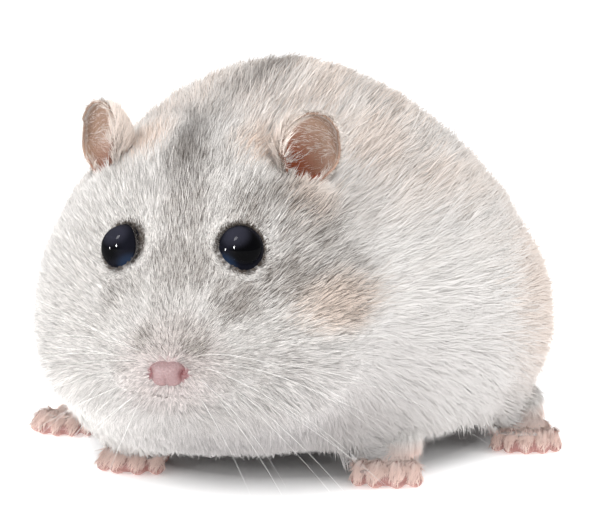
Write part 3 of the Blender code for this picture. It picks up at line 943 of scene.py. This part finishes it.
def hairs(name, path, ups, uv, width, hairs_each, spread, gather, draw):
    """Builds one region of the coat from its tufts' paths."""
    tufts, levels = path.shape[:2]
    count = tufts * hairs_each
    tuft = np.repeat(np.arange(tufts), hairs_each)
    reach_share = draw.uniform(1.0 - 2 * UNEVEN, 1.0 + 0.4 * UNEVEN, count)
    angle, far = draw.uniform(0, 2 * pi, count), np.sqrt(draw.random(count)) * spread
    stray = draw.normal(0, 0.09, (count, 2))
    stray = stray * np.linalg.norm(path[tuft, -1] - path[tuft, 0], axis=1)[:, None]
    low, high = path[tuft], ups[tuft]
    at_levels = np.linspace(0, 1, levels)
    made, sides_of, ups_of = [], [], []
    for level, share in enumerate(at_levels):
        along = share * reach_share * (levels - 1)
        below = np.clip(along.astype(int), 0, levels - 2)
        part = (along - below)[:, None]
        rows = np.arange(count)
        place = low[rows, below] * (1 - part) + low[rows, below + 1] * part
        up = unit(high[rows, below] * (1 - part) + high[rows, below + 1] * part)
        ahead = unit(low[rows, below + 1] - low[rows, below])
        across = unit(np.cross(ahead, up))
        forward = np.cross(up, across)
        fan = 1.0 - gather * share
        place = place + across * (np.cos(angle) * far * fan + stray[:, 0] * share**1.5)[:, None]
        place = place + forward * (np.sin(angle) * far * fan)[:, None]
        place = place + up * (stray[:, 1] * 0.5 * share**1.5 - ROOT_DEPTH * (level == 0))[:, None]
        made.append(place)
        sides_of.append(across)
        ups_of.append(up)
    roll = draw.normal(0, 0.45, count)
    lively = liveliness(path[:, 0])
    evenness = EVENNESS + ((LEAST_EVENNESS - EVENNESS) * lively)[tuft][:, None]
    widths = width * draw.uniform(0.75, 1.25, count)
    taper = np.interp(at_levels, [0, 0.35, 1.0], [0.8, 1.0, 0.25])
    corners, shading, along_all, across_all = [], [], [], []
    for level in range(levels):
        tilt = np.cos(roll)[:, None] * sides_of[level] + np.sin(roll)[:, None] * ups_of[level]
        face = unit(np.cos(roll)[:, None] * ups_of[level] - np.sin(roll)[:, None] * sides_of[level])
        soft = unit(evenness * ups_of[level] + (1 - evenness) * face)
        ends = (0.0,) if level == levels - 1 else (-0.5, 0.5)
        for end in ends:
            corners.append(made[level] + tilt * (widths * taper[level] * end)[:, None])
            shading.append(unit(soft + tilt * (end * 0.5)))
            along_all.append(np.full(count, at_levels[level]))
            across_all.append(np.full(count, end))
    per_hair = len(corners)
    vertices = np.stack(corners, axis=1).reshape(-1, 3)
    vertices[:, 2] = np.maximum(vertices[:, 2], LEAST_HAIR_HEIGHT)
    shading = np.stack(shading, axis=1).reshape(-1, 3)
    base = np.arange(count)[:, None] * per_hair
    quads = [[2 * k, 2 * k + 1, 2 * k + 3, 2 * k + 2] for k in range(levels - 2)]
    tip = [per_hair - 3, per_hair - 2, per_hair - 1]
    loops = np.concatenate([base + quad for quad in quads] + [base + tip], axis=1)
    sizes = np.array([4] * len(quads) + [3])
    mesh = bpy.data.meshes.new(name)
    mesh.vertices.add(len(vertices))
    mesh.vertices.foreach_set("co", in_metres(vertices).astype(np.float32).ravel())
    mesh.loops.add(loops.size)
    mesh.loops.foreach_set("vertex_index", loops.astype(np.int32).ravel())
    mesh.polygons.add(count * len(sizes))
    starts = np.concatenate([[0], np.cumsum(np.tile(sizes, count))[:-1]])
    mesh.polygons.foreach_set("loop_start", starts.astype(np.int32))
    mesh.update(calc_edges=True)
    mesh.polygons.foreach_set("use_smooth", np.ones(len(mesh.polygons), bool))
    along = np.stack(along_all, axis=1).ravel()
    across = np.stack(across_all, axis=1).ravel()
    map_places = uv[np.repeat(tuft, per_hair)] + np.stack([across, along - 0.5], axis=1) * PATCH
    layer = mesh.uv_layers.new(name="OFBake")
    layer.data.foreach_set("uv", map_places[loops.ravel()].astype(np.float32).ravel())
    # a marking's edge is ragged, because neighbouring hairs start a little before or behind it
    shift = draw.normal(0, 0.45, count)[:, None]
    marked = made[0] + (path[tuft, -1] - path[tuft, 0]) * shift
    pelt = np.repeat(np.stack(markings(marked), axis=1), per_hair, axis=0)
    each_chance = 0.5 + (draw.random(count) - 0.5) * lively[tuft]
    clump_chance = 0.5 + (draw.random(tufts) - 0.5) * lively
    chances = np.repeat(np.stack([each_chance, clump_chance[tuft]], axis=1), per_hair, axis=0)
    store_vectors(mesh, "pelt", pelt)
    store_vectors(mesh, "hair", np.column_stack([along, chances]))
    mesh.normals_split_custom_set_from_vertices(shading.astype(np.float32))
    item = bpy.data.objects.new(name, mesh)
    bpy.context.scene.collection.objects.link(item)
    print(name, tufts, "tufts", count, "hairs", triangles_in(item), "triangles")
    return item


# %% The coat of the body
def bare(q):
    """Where no hair grows: on the eyes, the nose pad and the hollows of the ears."""
    covered = np.linalg.norm((q - NOSE) / (1.72, 1.8, 1.10), axis=1) < 1.0
    for side in SIDES:
        covered |= np.linalg.norm(q - EYE[side], axis=1) < EYE_RADIUS - 0.02
        covered |= in_ear_mouth(q, side) > 0.25
    return covered | (q[:, 2] < 1.2)


BELLY_HEIGHT, BELLY_START = 4.5, 9.0  # the belly's coat grows below and behind these
REGIONS = [  # name, from and to behind the nose tip, hairs per square mm, hair width, slot
    ("coat_muzzle", -1.0, 6.0, 235, 0.050, "coat"),
    ("coat_face", 6.0, 10.5, 135, 0.062, "coat"),
    ("coat_brow", 10.5, 15.0, 105, 0.066, "coat"),
    ("coat_crown", 15.0, 20.0, 84, 0.070, "coat"),
    ("coat_neck", 20.0, 26.5, 68, 0.074, "coat"),
    ("coat_shoulders", 26.5, 35.0, 58, 0.080, "coat"),
    ("coat_back", 35.0, 44.5, 52, 0.084, "coat"),
    ("coat_haunches", 44.5, 56.0, 44, 0.088, "coat"),
    ("coat_rump", 56.0, 74.0, 40, 0.092, "coat"),
    ("coat_belly", BELLY_START, 74.0, 25, 0.094, "white_coat"),
]
HAIRS_EACH = 9
THINNING = 1.0

coats = []
for number, (name, start, end, density, width, slot) in enumerate(REGIONS):
    draw = np.random.default_rng(100 + number)
    low = (tri_middle[:, 2] < BELLY_HEIGHT) & (tri_middle[:, 1] > BELLY_START)
    inside = (tri_parts == BODY) & (tri_middle[:, 1] >= start) & (tri_middle[:, 1] < end)
    inside &= ~bare(tri_middle) & (low if slot == "white_coat" else ~low)
    place, up, uv = sow(inside, density * THINNING / HAIRS_EACH, draw)
    length = hair_length(place) * draw.uniform(0.8, 1.12, len(place))
    rise = np.minimum(coat_depth(place) * draw.uniform(0.55, 1.05, len(place)), length * 0.6)
    path, ups = over_skin(place, up, length, rise, lie_of_coat)
    spread = 0.75 * np.sqrt(HAIRS_EACH / density)
    coat = hairs(name, path, ups, uv, width, HAIRS_EACH, spread, 0.30, draw)
    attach(coat, "root")
    coats.append(coat)

# %% [markdown]
# Ears and feet have their own short hair. Behind the ear it lies from the root to the tip.
# Inside, a few fine pale hairs cross the bare skin towards the outer rim, and a longer fringe
# grows from the inner rim, and fuzz edges the whole cup. Short black hairs stand round the
# lids. On the feet the hair lies along the toes, and is longer at the ankles,
# where the leg's fur hangs over it.

# %% The hair of ears and feet
def lie_on_ear(side, ahead):
    direction = np.array(ahead) @ ear_places[side][1].T

    def lie(q, up):
        flow = direction + 0.25 * sway(q, 70, 2.5)
        return unit(flow - up * (flow * up).sum(axis=1)[:, None])

    return lie


def lie_on_rim(side):
    """The fuzz of the ear's edge points outwards all round it, and a little forwards."""
    centre, turn = ear_places[side]

    def lie(q, up):
        local = in_ear(q, side) * (1.0, 0.0, 1.0) + 0.8 * sway(q, 75, 1.5)
        return unit((unit(local) + (0.0, -0.35, 0.0)) @ turn.T)

    return lie


def short_hairs(where, density, each, long, rise, width, lie, draw, raised=0.0):
    """A group of short tufts: paths, directions up, map places, width, hairs each and spread."""
    place, up, uv = sow(where, density * THINNING / each, draw)
    length = long * draw.uniform(0.7, 1.2, len(place))
    path, ups = straight(place + up * raised, up, length, length * rise, lie)
    return path, ups, uv, width, each, 0.5 * np.sqrt(each / density)


ear_hairs = []
for side, sign in SIDES.items():
    draw = np.random.default_rng(300 + sign)
    on_ear = (tri_parts == EAR_PART) & (np.sign(tri_middle[:, 0] - midline_of(tri_middle)) == sign)
    local = in_ear(tri_middle, side)
    out_of_cup = (tri_up @ ear_places[side][1])[:, 1]
    outside = on_ear & (out_of_cup > 0.15)
    inside = on_ear & (out_of_cup < -0.1) & (local[:, 1] > -1.2)
    inner_rim = on_ear & (sign * local[:, 0] < -1.2) & (local[:, 1] < 0.5) & (local[:, 2] < 2.8)
    inner_rim &= out_of_cup > np.where(local[:, 2] < -1.0, 0.0, -0.5)
    outer_rim = on_ear & (sign * local[:, 0] > 0.6) & (local[:, 1] < 0.6) & (local[:, 2] < -0.6)
    rim = on_ear & (local[:, 1] < 0.35)
    fringe_lie = (sign * (0.5 + 0.2 * sign), -0.2, 0.85)
    low, high = inside & (local[:, 2] < 0.8), inside & (local[:, 2] >= 0.8)
    # where, hairs per square mm, hairs each, length, rise, width, the way it lies
    for group in (
        (outside, 110, 3, 1.2, 0.10, 0.036, lie_on_ear(side, (0.35 * sign, 0.0, 0.85))),
        (low, 5, 2, 1.3, 0.16, 0.016, lie_on_ear(side, (sign * 1.0, 0.0, 0.45))),
        (high, 22, 3, 1.2, 0.12, 0.022, lie_on_ear(side, (sign * 1.0, 0.0, 0.35))),
        (inner_rim, 100, 4, 2.2 + 0.2 * sign, 0.26, 0.032, lie_on_ear(side, fringe_lie)),
        (outer_rim, 36, 3, 1.2, 0.20, 0.026, lie_on_ear(side, (-sign * 0.3, -0.1, 1.0))),
        (rim, 80, 3, 0.40, 0.05, 0.024, lie_on_rim(side)),
    ):
        ear_hairs.append(short_hairs(*group, draw))


def all_hairs(name, groups, draw):
    """Several groups of tufts as one region of the coat."""
    made = []
    for number, (path, ups, uv, width, each, spread) in enumerate(groups):
        made.append(hairs(f"{name}_{number}", path, ups, uv, width, each, spread, 0.35, draw))
    item = joined(made, name)
    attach(item, "root")
    return item


coats.append(all_hairs("coat_ears", ear_hairs, np.random.default_rng(310)))


def lie_on_lid(q, up):
    """Short black hairs stand out all round each eye."""
    away = np.where((q[:, 0] > midline_of(q))[:, None], q - EYE["left"], q - EYE["right"])
    return unit(unit(away) + 0.35 * sway(q, 78, 0.8))


draw = np.random.default_rng(315)
place, up, uv = sow(tri_parts == LID_PART, 200 * THINNING, draw)
length = draw.uniform(0.10, 0.24, len(place))
path, ups = straight(place, up, length, length * 0.2, lie_on_lid)
lid_hairs = [(path, ups, uv, 0.030, 2, 0.06)]
coats.append(all_hairs("coat_lids", lid_hairs, draw))


def lie_on_foot(q, up):
    flow = np.tile((0.0, -1.0, -0.35), (len(q), 1)) + 0.12 * sway(q, 80, 2.0)
    high = soft_step(1.5, 2.8, q[:, 2])[:, None]
    flow = flow * (1 - high) + high * (np.array((0.0, -0.8, -1.0)) + 0.12 * sway(q, 84, 3.0))
    return unit(flow - up * (flow * up).sum(axis=1)[:, None])


draw = np.random.default_rng(320)
foot_hairs = []
on_foot = (tri_parts == FOOT_PART) & (tri_up[:, 2] > -0.2) & (tri_middle[:, 2] > 0.35)
on_toes = on_foot & (tri_middle[:, 2] < 1.8) & (beside_toe(tri_middle) < 0.88)
on_ankle = on_foot & (tri_middle[:, 2] >= 1.5)
for group in ((on_toes, 120, 4, 1.1, -0.05, 0.030), (on_ankle, 112, 6, 2.0, -0.04, 0.048)):
    path, ups, *rest = short_hairs(*group, lie_on_foot, draw, raised=0.12)
    ups = unit(ups + (0.0, -0.9, 0.0))  # the down is lit through from the front
    foot_hairs.append((path, ups, *rest))
coats.append(all_hairs("coat_feet", foot_hairs, draw))

# %% [markdown]
# Whiskers. A hamster carries rows of long white whiskers on each side of its muzzle, and a few
# over its eyes. They leave the pad stiffly, fan out and droop at their ends. Each is a thin
# three-sided tube along a curve of its own, and all are joined.

# %% Whiskers
WHISKER_ROWS, WHISKER_COLUMNS = 4, 4
NEAREST_LENGTH, LENGTH_STEP = 11.0, 3.2  # of the column by the nose, and what each next one adds
MUZZLE_THICKNESS, BROW_THICKNESS = 0.018, 0.017  # radii at the root
RINGS, CORNERS = 13, 3


def whisker(root, ahead, length, droop, thick):
    """The rings of one whisker: a curve that leaves straight and then droops."""
    shares = np.linspace(0, 1, RINGS)
    line = root + np.outer(shares * length, unit(np.array(ahead)))
    line = line - np.outer(shares**2.2 * length * droop, (0, 0, 1))
    line[:, 2] = np.maximum(line[:, 2], 0.15)
    tangent = unit(np.gradient(line, axis=0))
    side = unit(np.cross(tangent, (0.05, 0.1, 1.0)))
    lift = np.cross(side, tangent)
    rings = []
    for corner in range(CORNERS):
        angle = 2 * pi * corner / CORNERS
        radius = thick * (1.0 - 0.8 * shares)
        rings.append(line + (cos(angle) * side + sin(angle) * lift) * radius[:, None])
    return np.stack(rings, axis=1)


def skin_at(q):
    found = body_tree.find_nearest(list(q))
    return np.array(found[0]), body_face_up[found[2]]


draw = np.random.default_rng(400)
tubes = []
for side, sign in SIDES.items():
    for row in range(WHISKER_ROWS):
        for column in range(WHISKER_COLUMNS):
            start = NOSE + (sign * (2.3 + 1.0 * column), 0.9 + 1.1 * column, -0.6 + 1.0 * row - 1.1)
            root, up = skin_at(start)
            climb = -0.95 + 0.34 * row + 0.20 * (side == "right")
            ahead = np.array([sign * 0.9, -0.15 + 0.34 * column, climb])
            ahead = ahead + draw.normal(0, 0.10, 3) + 0.25 * up
            length = (NEAREST_LENGTH + LENGTH_STEP * column) * draw.uniform(0.85, 1.15)
            droop = draw.uniform(0.10, 0.38)
            tubes.append(whisker(root - 0.1 * up, ahead, length, droop, MUZZLE_THICKNESS))
    for number in range(4):
        start = EYE[side] + (-sign * 1.2 + 0.5 * sign * number, 0.6, 3.0)
        root, up = skin_at(start)
        ahead = up + np.array([sign * 0.5, 0.1, 0.7]) + draw.normal(0, 0.12, 3)
        length = draw.uniform(4.5, 7.0)
        tubes.append(whisker(root - 0.1 * up, ahead, length, 0.15, BROW_THICKNESS))

tube_points = np.concatenate([tube.reshape(-1, 3) for tube in tubes])
tube_faces = []
for number in range(len(tubes)):
    base = number * RINGS * CORNERS
    for ring in range(RINGS - 1):
        first = base + ring * CORNERS
        for corner in range(CORNERS):
            a, b = first + corner, first + (corner + 1) % CORNERS
            tube_faces.append((a, b, b + CORNERS, a + CORNERS))
    last = base + (RINGS - 1) * CORNERS
    tube_faces += [(base + 2, base + 1, base), (last, last + 1, last + 2)]
mesh = bpy.data.meshes.new("whiskers")
mesh.from_pydata(in_metres(tube_points).tolist(), [], tube_faces)
whiskers = bpy.data.objects.new("whiskers", mesh)
bpy.context.scene.collection.objects.link(whiskers)
whiskers.data.shade_smooth()
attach(whiskers, "root")
print("whiskers", len(tubes))

# %% [markdown]
# Colour and finish. A hair is darker at its root, and no two are quite alike, so each one carries
# its place along its length and two random numbers, and the material mixes the markings' colours
# with them, and lays a painted shade on the throat and chest. The skin wears the same markings and
# adds the bare pink of the nose and feet, the warm brown of the ears' hollows darkened deep in with
# painted shade, painted shade in the nostrils and between the toes, and the dark rims of the lids.
# The eyes carry a painted glow low down and a painted sheen above. Everything is worked out from
# numbers stored on the points or from the place in the object, which keeps the look from every side.

# %% Materials
def new_material(name):
    made = bpy.data.materials.new(name)
    made.use_nodes = True
    return made, made.node_tree, made.node_tree.nodes["Principled BSDF"]


def node(tree, kind, **settings):
    made = tree.nodes.new(kind)
    for name, value in settings.items():
        setattr(made, name, value)
    return made


def mixed(tree, share, first, second, blend="MIX"):
    """A colour mixed from two. Each may be a socket or a colour, and share a socket or number."""
    mix = node(tree, "ShaderNodeMix", data_type="RGBA", blend_type=blend)
    for socket, value in ((mix.inputs[0], share), (mix.inputs[6], first), (mix.inputs[7], second)):
        if isinstance(value, bpy.types.NodeSocket):
            tree.links.new(value, socket)
        else:
            socket.default_value = value
    return mix.outputs[2]


def ranged(tree, value, from_low, from_high, to_low, to_high):
    step = node(tree, "ShaderNodeMapRange")
    tree.links.new(value, step.inputs[0])
    for number, amount in enumerate((from_low, from_high, to_low, to_high), 1):
        step.inputs[number].default_value = amount
    return step.outputs[0]


def times(tree, first, second):
    step = node(tree, "ShaderNodeMath", operation="MULTIPLY")
    for socket, value in zip(step.inputs, (first, second)):
        if isinstance(value, bpy.types.NodeSocket):
            tree.links.new(value, socket)
        else:
            socket.default_value = value
    return step.outputs[0]


def split(tree, vector):
    """The three numbers of a vector."""
    apart = node(tree, "ShaderNodeSeparateXYZ")
    tree.links.new(vector, apart.inputs[0])
    return apart.outputs


def attribute(tree, name):
    """The three numbers stored at a point under that name."""
    return split(tree, node(tree, "ShaderNodeAttribute", attribute_name=name).outputs["Vector"])


def object_place(tree):
    return node(tree, "ShaderNodeTexCoord").outputs["Object"]


WHITE_FUR = (0.87, 0.845, 0.82, 1)
GREY_FUR = (0.43, 0.395, 0.365, 1)
CREAM_FUR = (0.85, 0.655, 0.53, 1)
DARK_FUR = (0.070, 0.054, 0.043, 1)
ROSY_FUR = (0.99, 0.77, 0.69, 1)  # the down of the feet, with the skin shining through
EAR_FUR = (0.95, 0.87, 0.81, 1)
THROAT_SHADE_FUR = (0.48, 0.455, 0.455, 1)  # painted shade, laid on the throat and chest under the head
BLUSH = (0.80, 0.60, 0.58, 1)
# how strongly each kind of hair takes the grey, the cream and the painted shade of throat and chest
MARKING_SHARES = {WHITE_FUR: (1.0, 0.75, 0.74), EAR_FUR: (0.4, 0.25, 0.0), ROSY_FUR: (1.0, 0.25, 0.0)}


def pelt_colour(tree, white=WHITE_FUR):
    """The colour of the markings, from the three numbers stored at each point."""
    grey, cream, dark = attribute(tree, "pelt")
    place = object_place(tree)
    across, back, height = split(tree, place)
    grey_share, cream_share, throat_shade_share = MARKING_SHARES[white]
    if white == ROSY_FUR:  # only the toes are rosy, and the leg above them is white
        white = mixed(tree, ranged(tree, height, 0.0016, 0.0034, 0.0, 1.0), ROSY_FUR, WHITE_FUR)
    from_nose = node(tree, "ShaderNodeVectorMath", operation="DISTANCE")
    tree.links.new(place, from_nose.inputs[0])
    from_nose.inputs[1].default_value = in_metres(NOSE)
    blush = ranged(tree, from_nose.outputs["Value"], 0.0018, 0.0060, 0.42, 0.0)
    colour = mixed(tree, blush, white, BLUSH)
    # painted shade: darker low on the throat and chest under the head, fading further back and on the
    # animal's right side
    near, far = in_metres((0.0, 16.0, 0.0))[1], in_metres((0.0, 30.0, 0.0))[1]
    throat_shade = ranged(tree, back, near, far, 1.0, 0.35)
    throat_shade = times(tree, throat_shade, ranged(tree, height, 0.005, 0.017, throat_shade_share, 0.0))
    throat_shade = times(tree, throat_shade, ranged(tree, across, -0.012, -0.002, 0.1, 1.0))
    colour = mixed(tree, throat_shade, colour, THROAT_SHADE_FUR)
    colour = mixed(tree, times(tree, grey, grey_share), colour, GREY_FUR)
    colour = mixed(tree, times(tree, cream, cream_share), colour, CREAM_FUR)
    return mixed(tree, ranged(tree, dark, 0.0, DARKEST, 0.0, 1.0), colour, DARK_FUR), grey


def fur_material(name, white):
    """Hair: darker at its root, each hair and tuft a little different, dark tips in the mask."""
    made, tree, shader = new_material(name)
    colour, grey = pelt_colour(tree, white)
    along, chance, clump = attribute(tree, "hair")
    light = ranged(tree, along, 0.0, 0.8, 0.90, 1.02)
    light = times(tree, light, ranged(tree, chance, 0.0, 1.0, 0.64, 1.17))
    light = times(tree, light, ranged(tree, clump, 0.0, 1.0, 0.88, 1.10))
    colour = mixed(tree, 1.0, colour, light, "MULTIPLY")
    ticked = ranged(tree, chance, 0.36, 0.25, 0.0, 1.0)
    ticked = times(tree, ticked, ranged(tree, along, 0.25, 0.7, 0.0, 1.0))
    ticked = times(tree, ticked, ranged(tree, grey, 0.12, 0.6, 0.0, 0.95))
    colour = mixed(tree, ticked, colour, DARK_FUR)
    tree.links.new(colour, shader.inputs["Base Color"])
    shader.inputs["Roughness"].default_value = 0.6
    shader.inputs["Specular IOR Level"].default_value = 0.15
    return made


fur = fur_material("soft_fur", WHITE_FUR)
ear_down, foot_down = fur_material("ear_down", EAR_FUR), fur_material("foot_down", ROSY_FUR)
for coat in coats:
    coat.data.materials.append({"coat_ears": ear_down, "coat_feet": foot_down}.get(coat.name, fur))

point_parts = np.zeros(len(skin_q), np.int32)
for part in (BODY, EAR_PART, FOOT_PART, NOSE_PART, LID_PART):
    point_parts[tri_corners[tri_parts == part].ravel()] = part


def bareness(q):
    """How pink, how much like an ear's inside, and how dark the bare skin is, with painted shade in the
    nostrils, between the toes and deep in the ears.
    """
    pink = (point_parts == NOSE_PART).astype(float)
    pink = np.maximum(pink, (point_parts == FOOT_PART) * (1.0 - soft_step(2.0, 3.6, q[:, 2])))
    pink = np.maximum(pink, (point_parts == BODY) * soft_step(2.0, 1.2, q[:, 2]))
    round_nose = np.linalg.norm(q - NOSE, axis=1)
    pink = np.maximum(pink, (point_parts == BODY) * 0.6 * (1.0 - soft_step(1.3, 3.0, round_nose)))
    ear, dark = np.zeros(len(q)), (point_parts == LID_PART).astype(float)
    # painted shade in the grooves between the toes
    toe_groove_shade = soft_step(0.70, 0.98, beside_toe(q)) * soft_step(1.6, 0.9, q[:, 2])
    dark = np.maximum(dark, 0.55 * toe_groove_shade * (point_parts == FOOT_PART))
    for side, sign in SIDES.items():
        on_side = (point_parts == EAR_PART) & (np.sign(q[:, 0] - midline_of(q)) == sign)
        local = in_ear(q, side)
        facing_in = soft_step(0.3, -0.3, (skin_up @ ear_places[side][1])[:, 1])
        # deep in the hollow the skin runs to a darker red: partly its own colour, partly painted shade
        deep = 1.0 - soft_step(1.2, 4.6, np.linalg.norm(local - (-sign * 0.9, 1.0, -0.9), axis=1))
        ear = np.where(on_side, facing_in * (0.35 + 0.65 * deep), ear)
        narrow = EAR_RADII[0] * (1.0 - 0.42 * soft_step(0.5, -3.6, local[:, 2]))
        edge = soft_step(0.88, 0.98, np.hypot(local[:, 0] / narrow, local[:, 2] / EAR_RADII[2]))
        dark = np.maximum(dark, 0.36 * (edge * soft_step(0.9, 0.2, local[:, 1])) * on_side)
        # the hollow at the foot of the ear's opening takes the same colour, partly painted shade
        ear = np.where(point_parts == BODY, np.maximum(ear, in_ear_mouth(q, side)), ear)
        near = 1.0 - soft_step(EYE_RADIUS, EYE_RADIUS + 0.22, np.linalg.norm(q - EYE[side], axis=1))
        dark = np.maximum(dark, near * (point_parts == BODY))
        # painted shade in the nostrils
        beside = np.exp(-(((q - NOSE - (sign * 1.45, -0.3, -0.08)) / (0.34, 1.6, 0.55)) ** 2).sum(axis=1))
        dark = np.maximum(dark, beside * np.isin(point_parts, (NOSE_PART, BODY)))
        pink = np.maximum(pink, soft_step(0.05, 0.3, beside) * (point_parts == BODY))
    return pink, ear, dark


NOSE_SKIN = (0.31, 0.205, 0.205, 1)
FOOT_SKIN = (0.58, 0.37, 0.33, 1)
# the ear's hollow deep in: its own warm brown, darkened with painted shade
EAR_HOLLOW_AND_SHADE = (0.22, 0.050, 0.018, 1)
EAR_EDGE = (0.40, 0.27, 0.20, 1)
RIM_SKIN = (0.012, 0.010, 0.010, 1)
# dark red painted shade of the nostrils and of the grooves between the toes
NOSTRIL_AND_GROOVE_SHADE = (0.17, 0.025, 0.03, 1)

PUPIL, IRIS = (0.0008, 0.0008, 0.0012, 1), (0.0055, 0.0058, 0.0095, 1)
# painted light in the eyes: a blue glow low down and a pale sheen above stand for light inside and on the
# ball
PAINTED_INNER_GLOW, PAINTED_LENS_SHEEN = (0.018, 0.034, 0.070, 1), (0.050, 0.050, 0.072, 1)
CLAW_PALE, CLAW_ROSY = (0.86, 0.78, 0.70, 1), (0.74, 0.58, 0.52, 1)
WHISKER_PALE, WHISKER_GREY = (0.94, 0.93, 0.91, 1), (0.80, 0.78, 0.75, 1)

under, tree, shader = new_material("skin")
colour, grey = pelt_colour(tree)
pink, ear, black = attribute(tree, "bare")
place = object_place(tree)
height = split(tree, place)[2]
bare_colour = mixed(tree, ranged(tree, height, 0.005, 0.009, 0.0, 1.0), FOOT_SKIN, NOSE_SKIN)
colour = mixed(tree, pink, colour, bare_colour)
ear_colour = mixed(tree, ranged(tree, ear, 0.35, 1.0, 0.0, 1.0), EAR_EDGE, EAR_HOLLOW_AND_SHADE)
colour = mixed(tree, ranged(tree, ear, 0.0, 0.3, 0.0, 1.0), colour, ear_colour)
# where pink, the dark is the painted shade of nostrils and toe grooves; elsewhere it is the lids' black
# skin
rim = mixed(tree, pink, RIM_SKIN, NOSTRIL_AND_GROOVE_SHADE)
colour = mixed(tree, black, colour, rim)
tree.links.new(colour, shader.inputs["Base Color"])
shader.inputs["Roughness"].default_value = 0.5
shader.inputs["Specular IOR Level"].default_value = 0.15
shader.inputs["Subsurface Weight"].default_value = 0.06
shader.inputs["Subsurface Radius"].default_value = (0.0006, 0.0003, 0.0002)
shader.inputs["Subsurface Scale"].default_value = 1.0
grain = node(tree, "ShaderNodeTexVoronoi")
grain.inputs["Scale"].default_value = 5200.0
tree.links.new(place, grain.inputs["Vector"])
bump = node(tree, "ShaderNodeBump")
bump.inputs["Strength"].default_value = 0.6
bump.inputs["Distance"].default_value = 0.00010
tree.links.new(grain.outputs["Distance"], bump.inputs["Height"])
tree.links.new(bump.outputs["Normal"], shader.inputs["Normal"])
skin.data.materials.clear()
skin.data.materials.append(under)
store_vectors(skin.data, "pelt", np.stack(markings(skin_q), axis=1))
store_vectors(skin.data, "bare", np.stack(bareness(skin_q), axis=1))

wet, tree, shader = new_material("wet_eye")
iris, glow, painted_sheen = attribute(tree, "eye")
colour = mixed(tree, glow, mixed(tree, iris, PUPIL, IRIS), PAINTED_INNER_GLOW)
tree.links.new(mixed(tree, painted_sheen, colour, PAINTED_LENS_SHEEN), shader.inputs["Base Color"])
shader.inputs["Roughness"].default_value = 0.42
shader.inputs["Specular IOR Level"].default_value = 0.0
shader.inputs["Coat Weight"].default_value = 0.08
shader.inputs["Coat Roughness"].default_value = 0.03
for side, ball in eyes.items():  # the iris, a painted glow low down and a painted reflection above
    out = unit(in_mm(points_of(ball)) - EYE[side])
    towards = unit(unit(np.array((-SIDES[side] * 0.9, -0.8, -1.0))) + 0.3 * eye_axis(side))
    above = unit(unit(np.array((-0.20, -0.60, 0.90))) + 0.3 * eye_axis(side))
    iris_share = soft_step(0.84, 0.60, out @ eye_axis(side))
    painted_glow_share = 0.7 * soft_step(0.80, 1.0, out @ towards)
    painted_sheen_share = 0.45 * soft_step(0.72, 1.0, out @ above)
    store_vectors(ball.data, "eye", np.stack([iris_share, painted_glow_share, painted_sheen_share], axis=1))
    ball.data.materials.append(wet)


def streaked(name, first, second, scale, roughness):
    """Horn or hair that varies a little along its length."""
    made, tree, shader = new_material(name)
    streak = node(tree, "ShaderNodeTexNoise")
    streak.inputs["Scale"].default_value = scale
    tree.links.new(object_place(tree), streak.inputs["Vector"])
    tree.links.new(mixed(tree, streak.outputs[0], first, second), shader.inputs["Base Color"])
    shader.inputs["Roughness"].default_value = roughness
    return made


claws.data.materials.append(streaked("claw_horn", CLAW_PALE, CLAW_ROSY, 1500.0, 0.35))
whiskers.data.materials.append(streaked("pale_whisker", WHISKER_PALE, WHISKER_GREY, 300.0, 0.4))

# %% [markdown]
# Last, the size. The coat and whiskers reach a little past the solids, so both boxes are printed.

# %% The box, the size and the end
low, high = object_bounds()
print("visual", [round(side / MM, 1) for side in high - low], "mm")
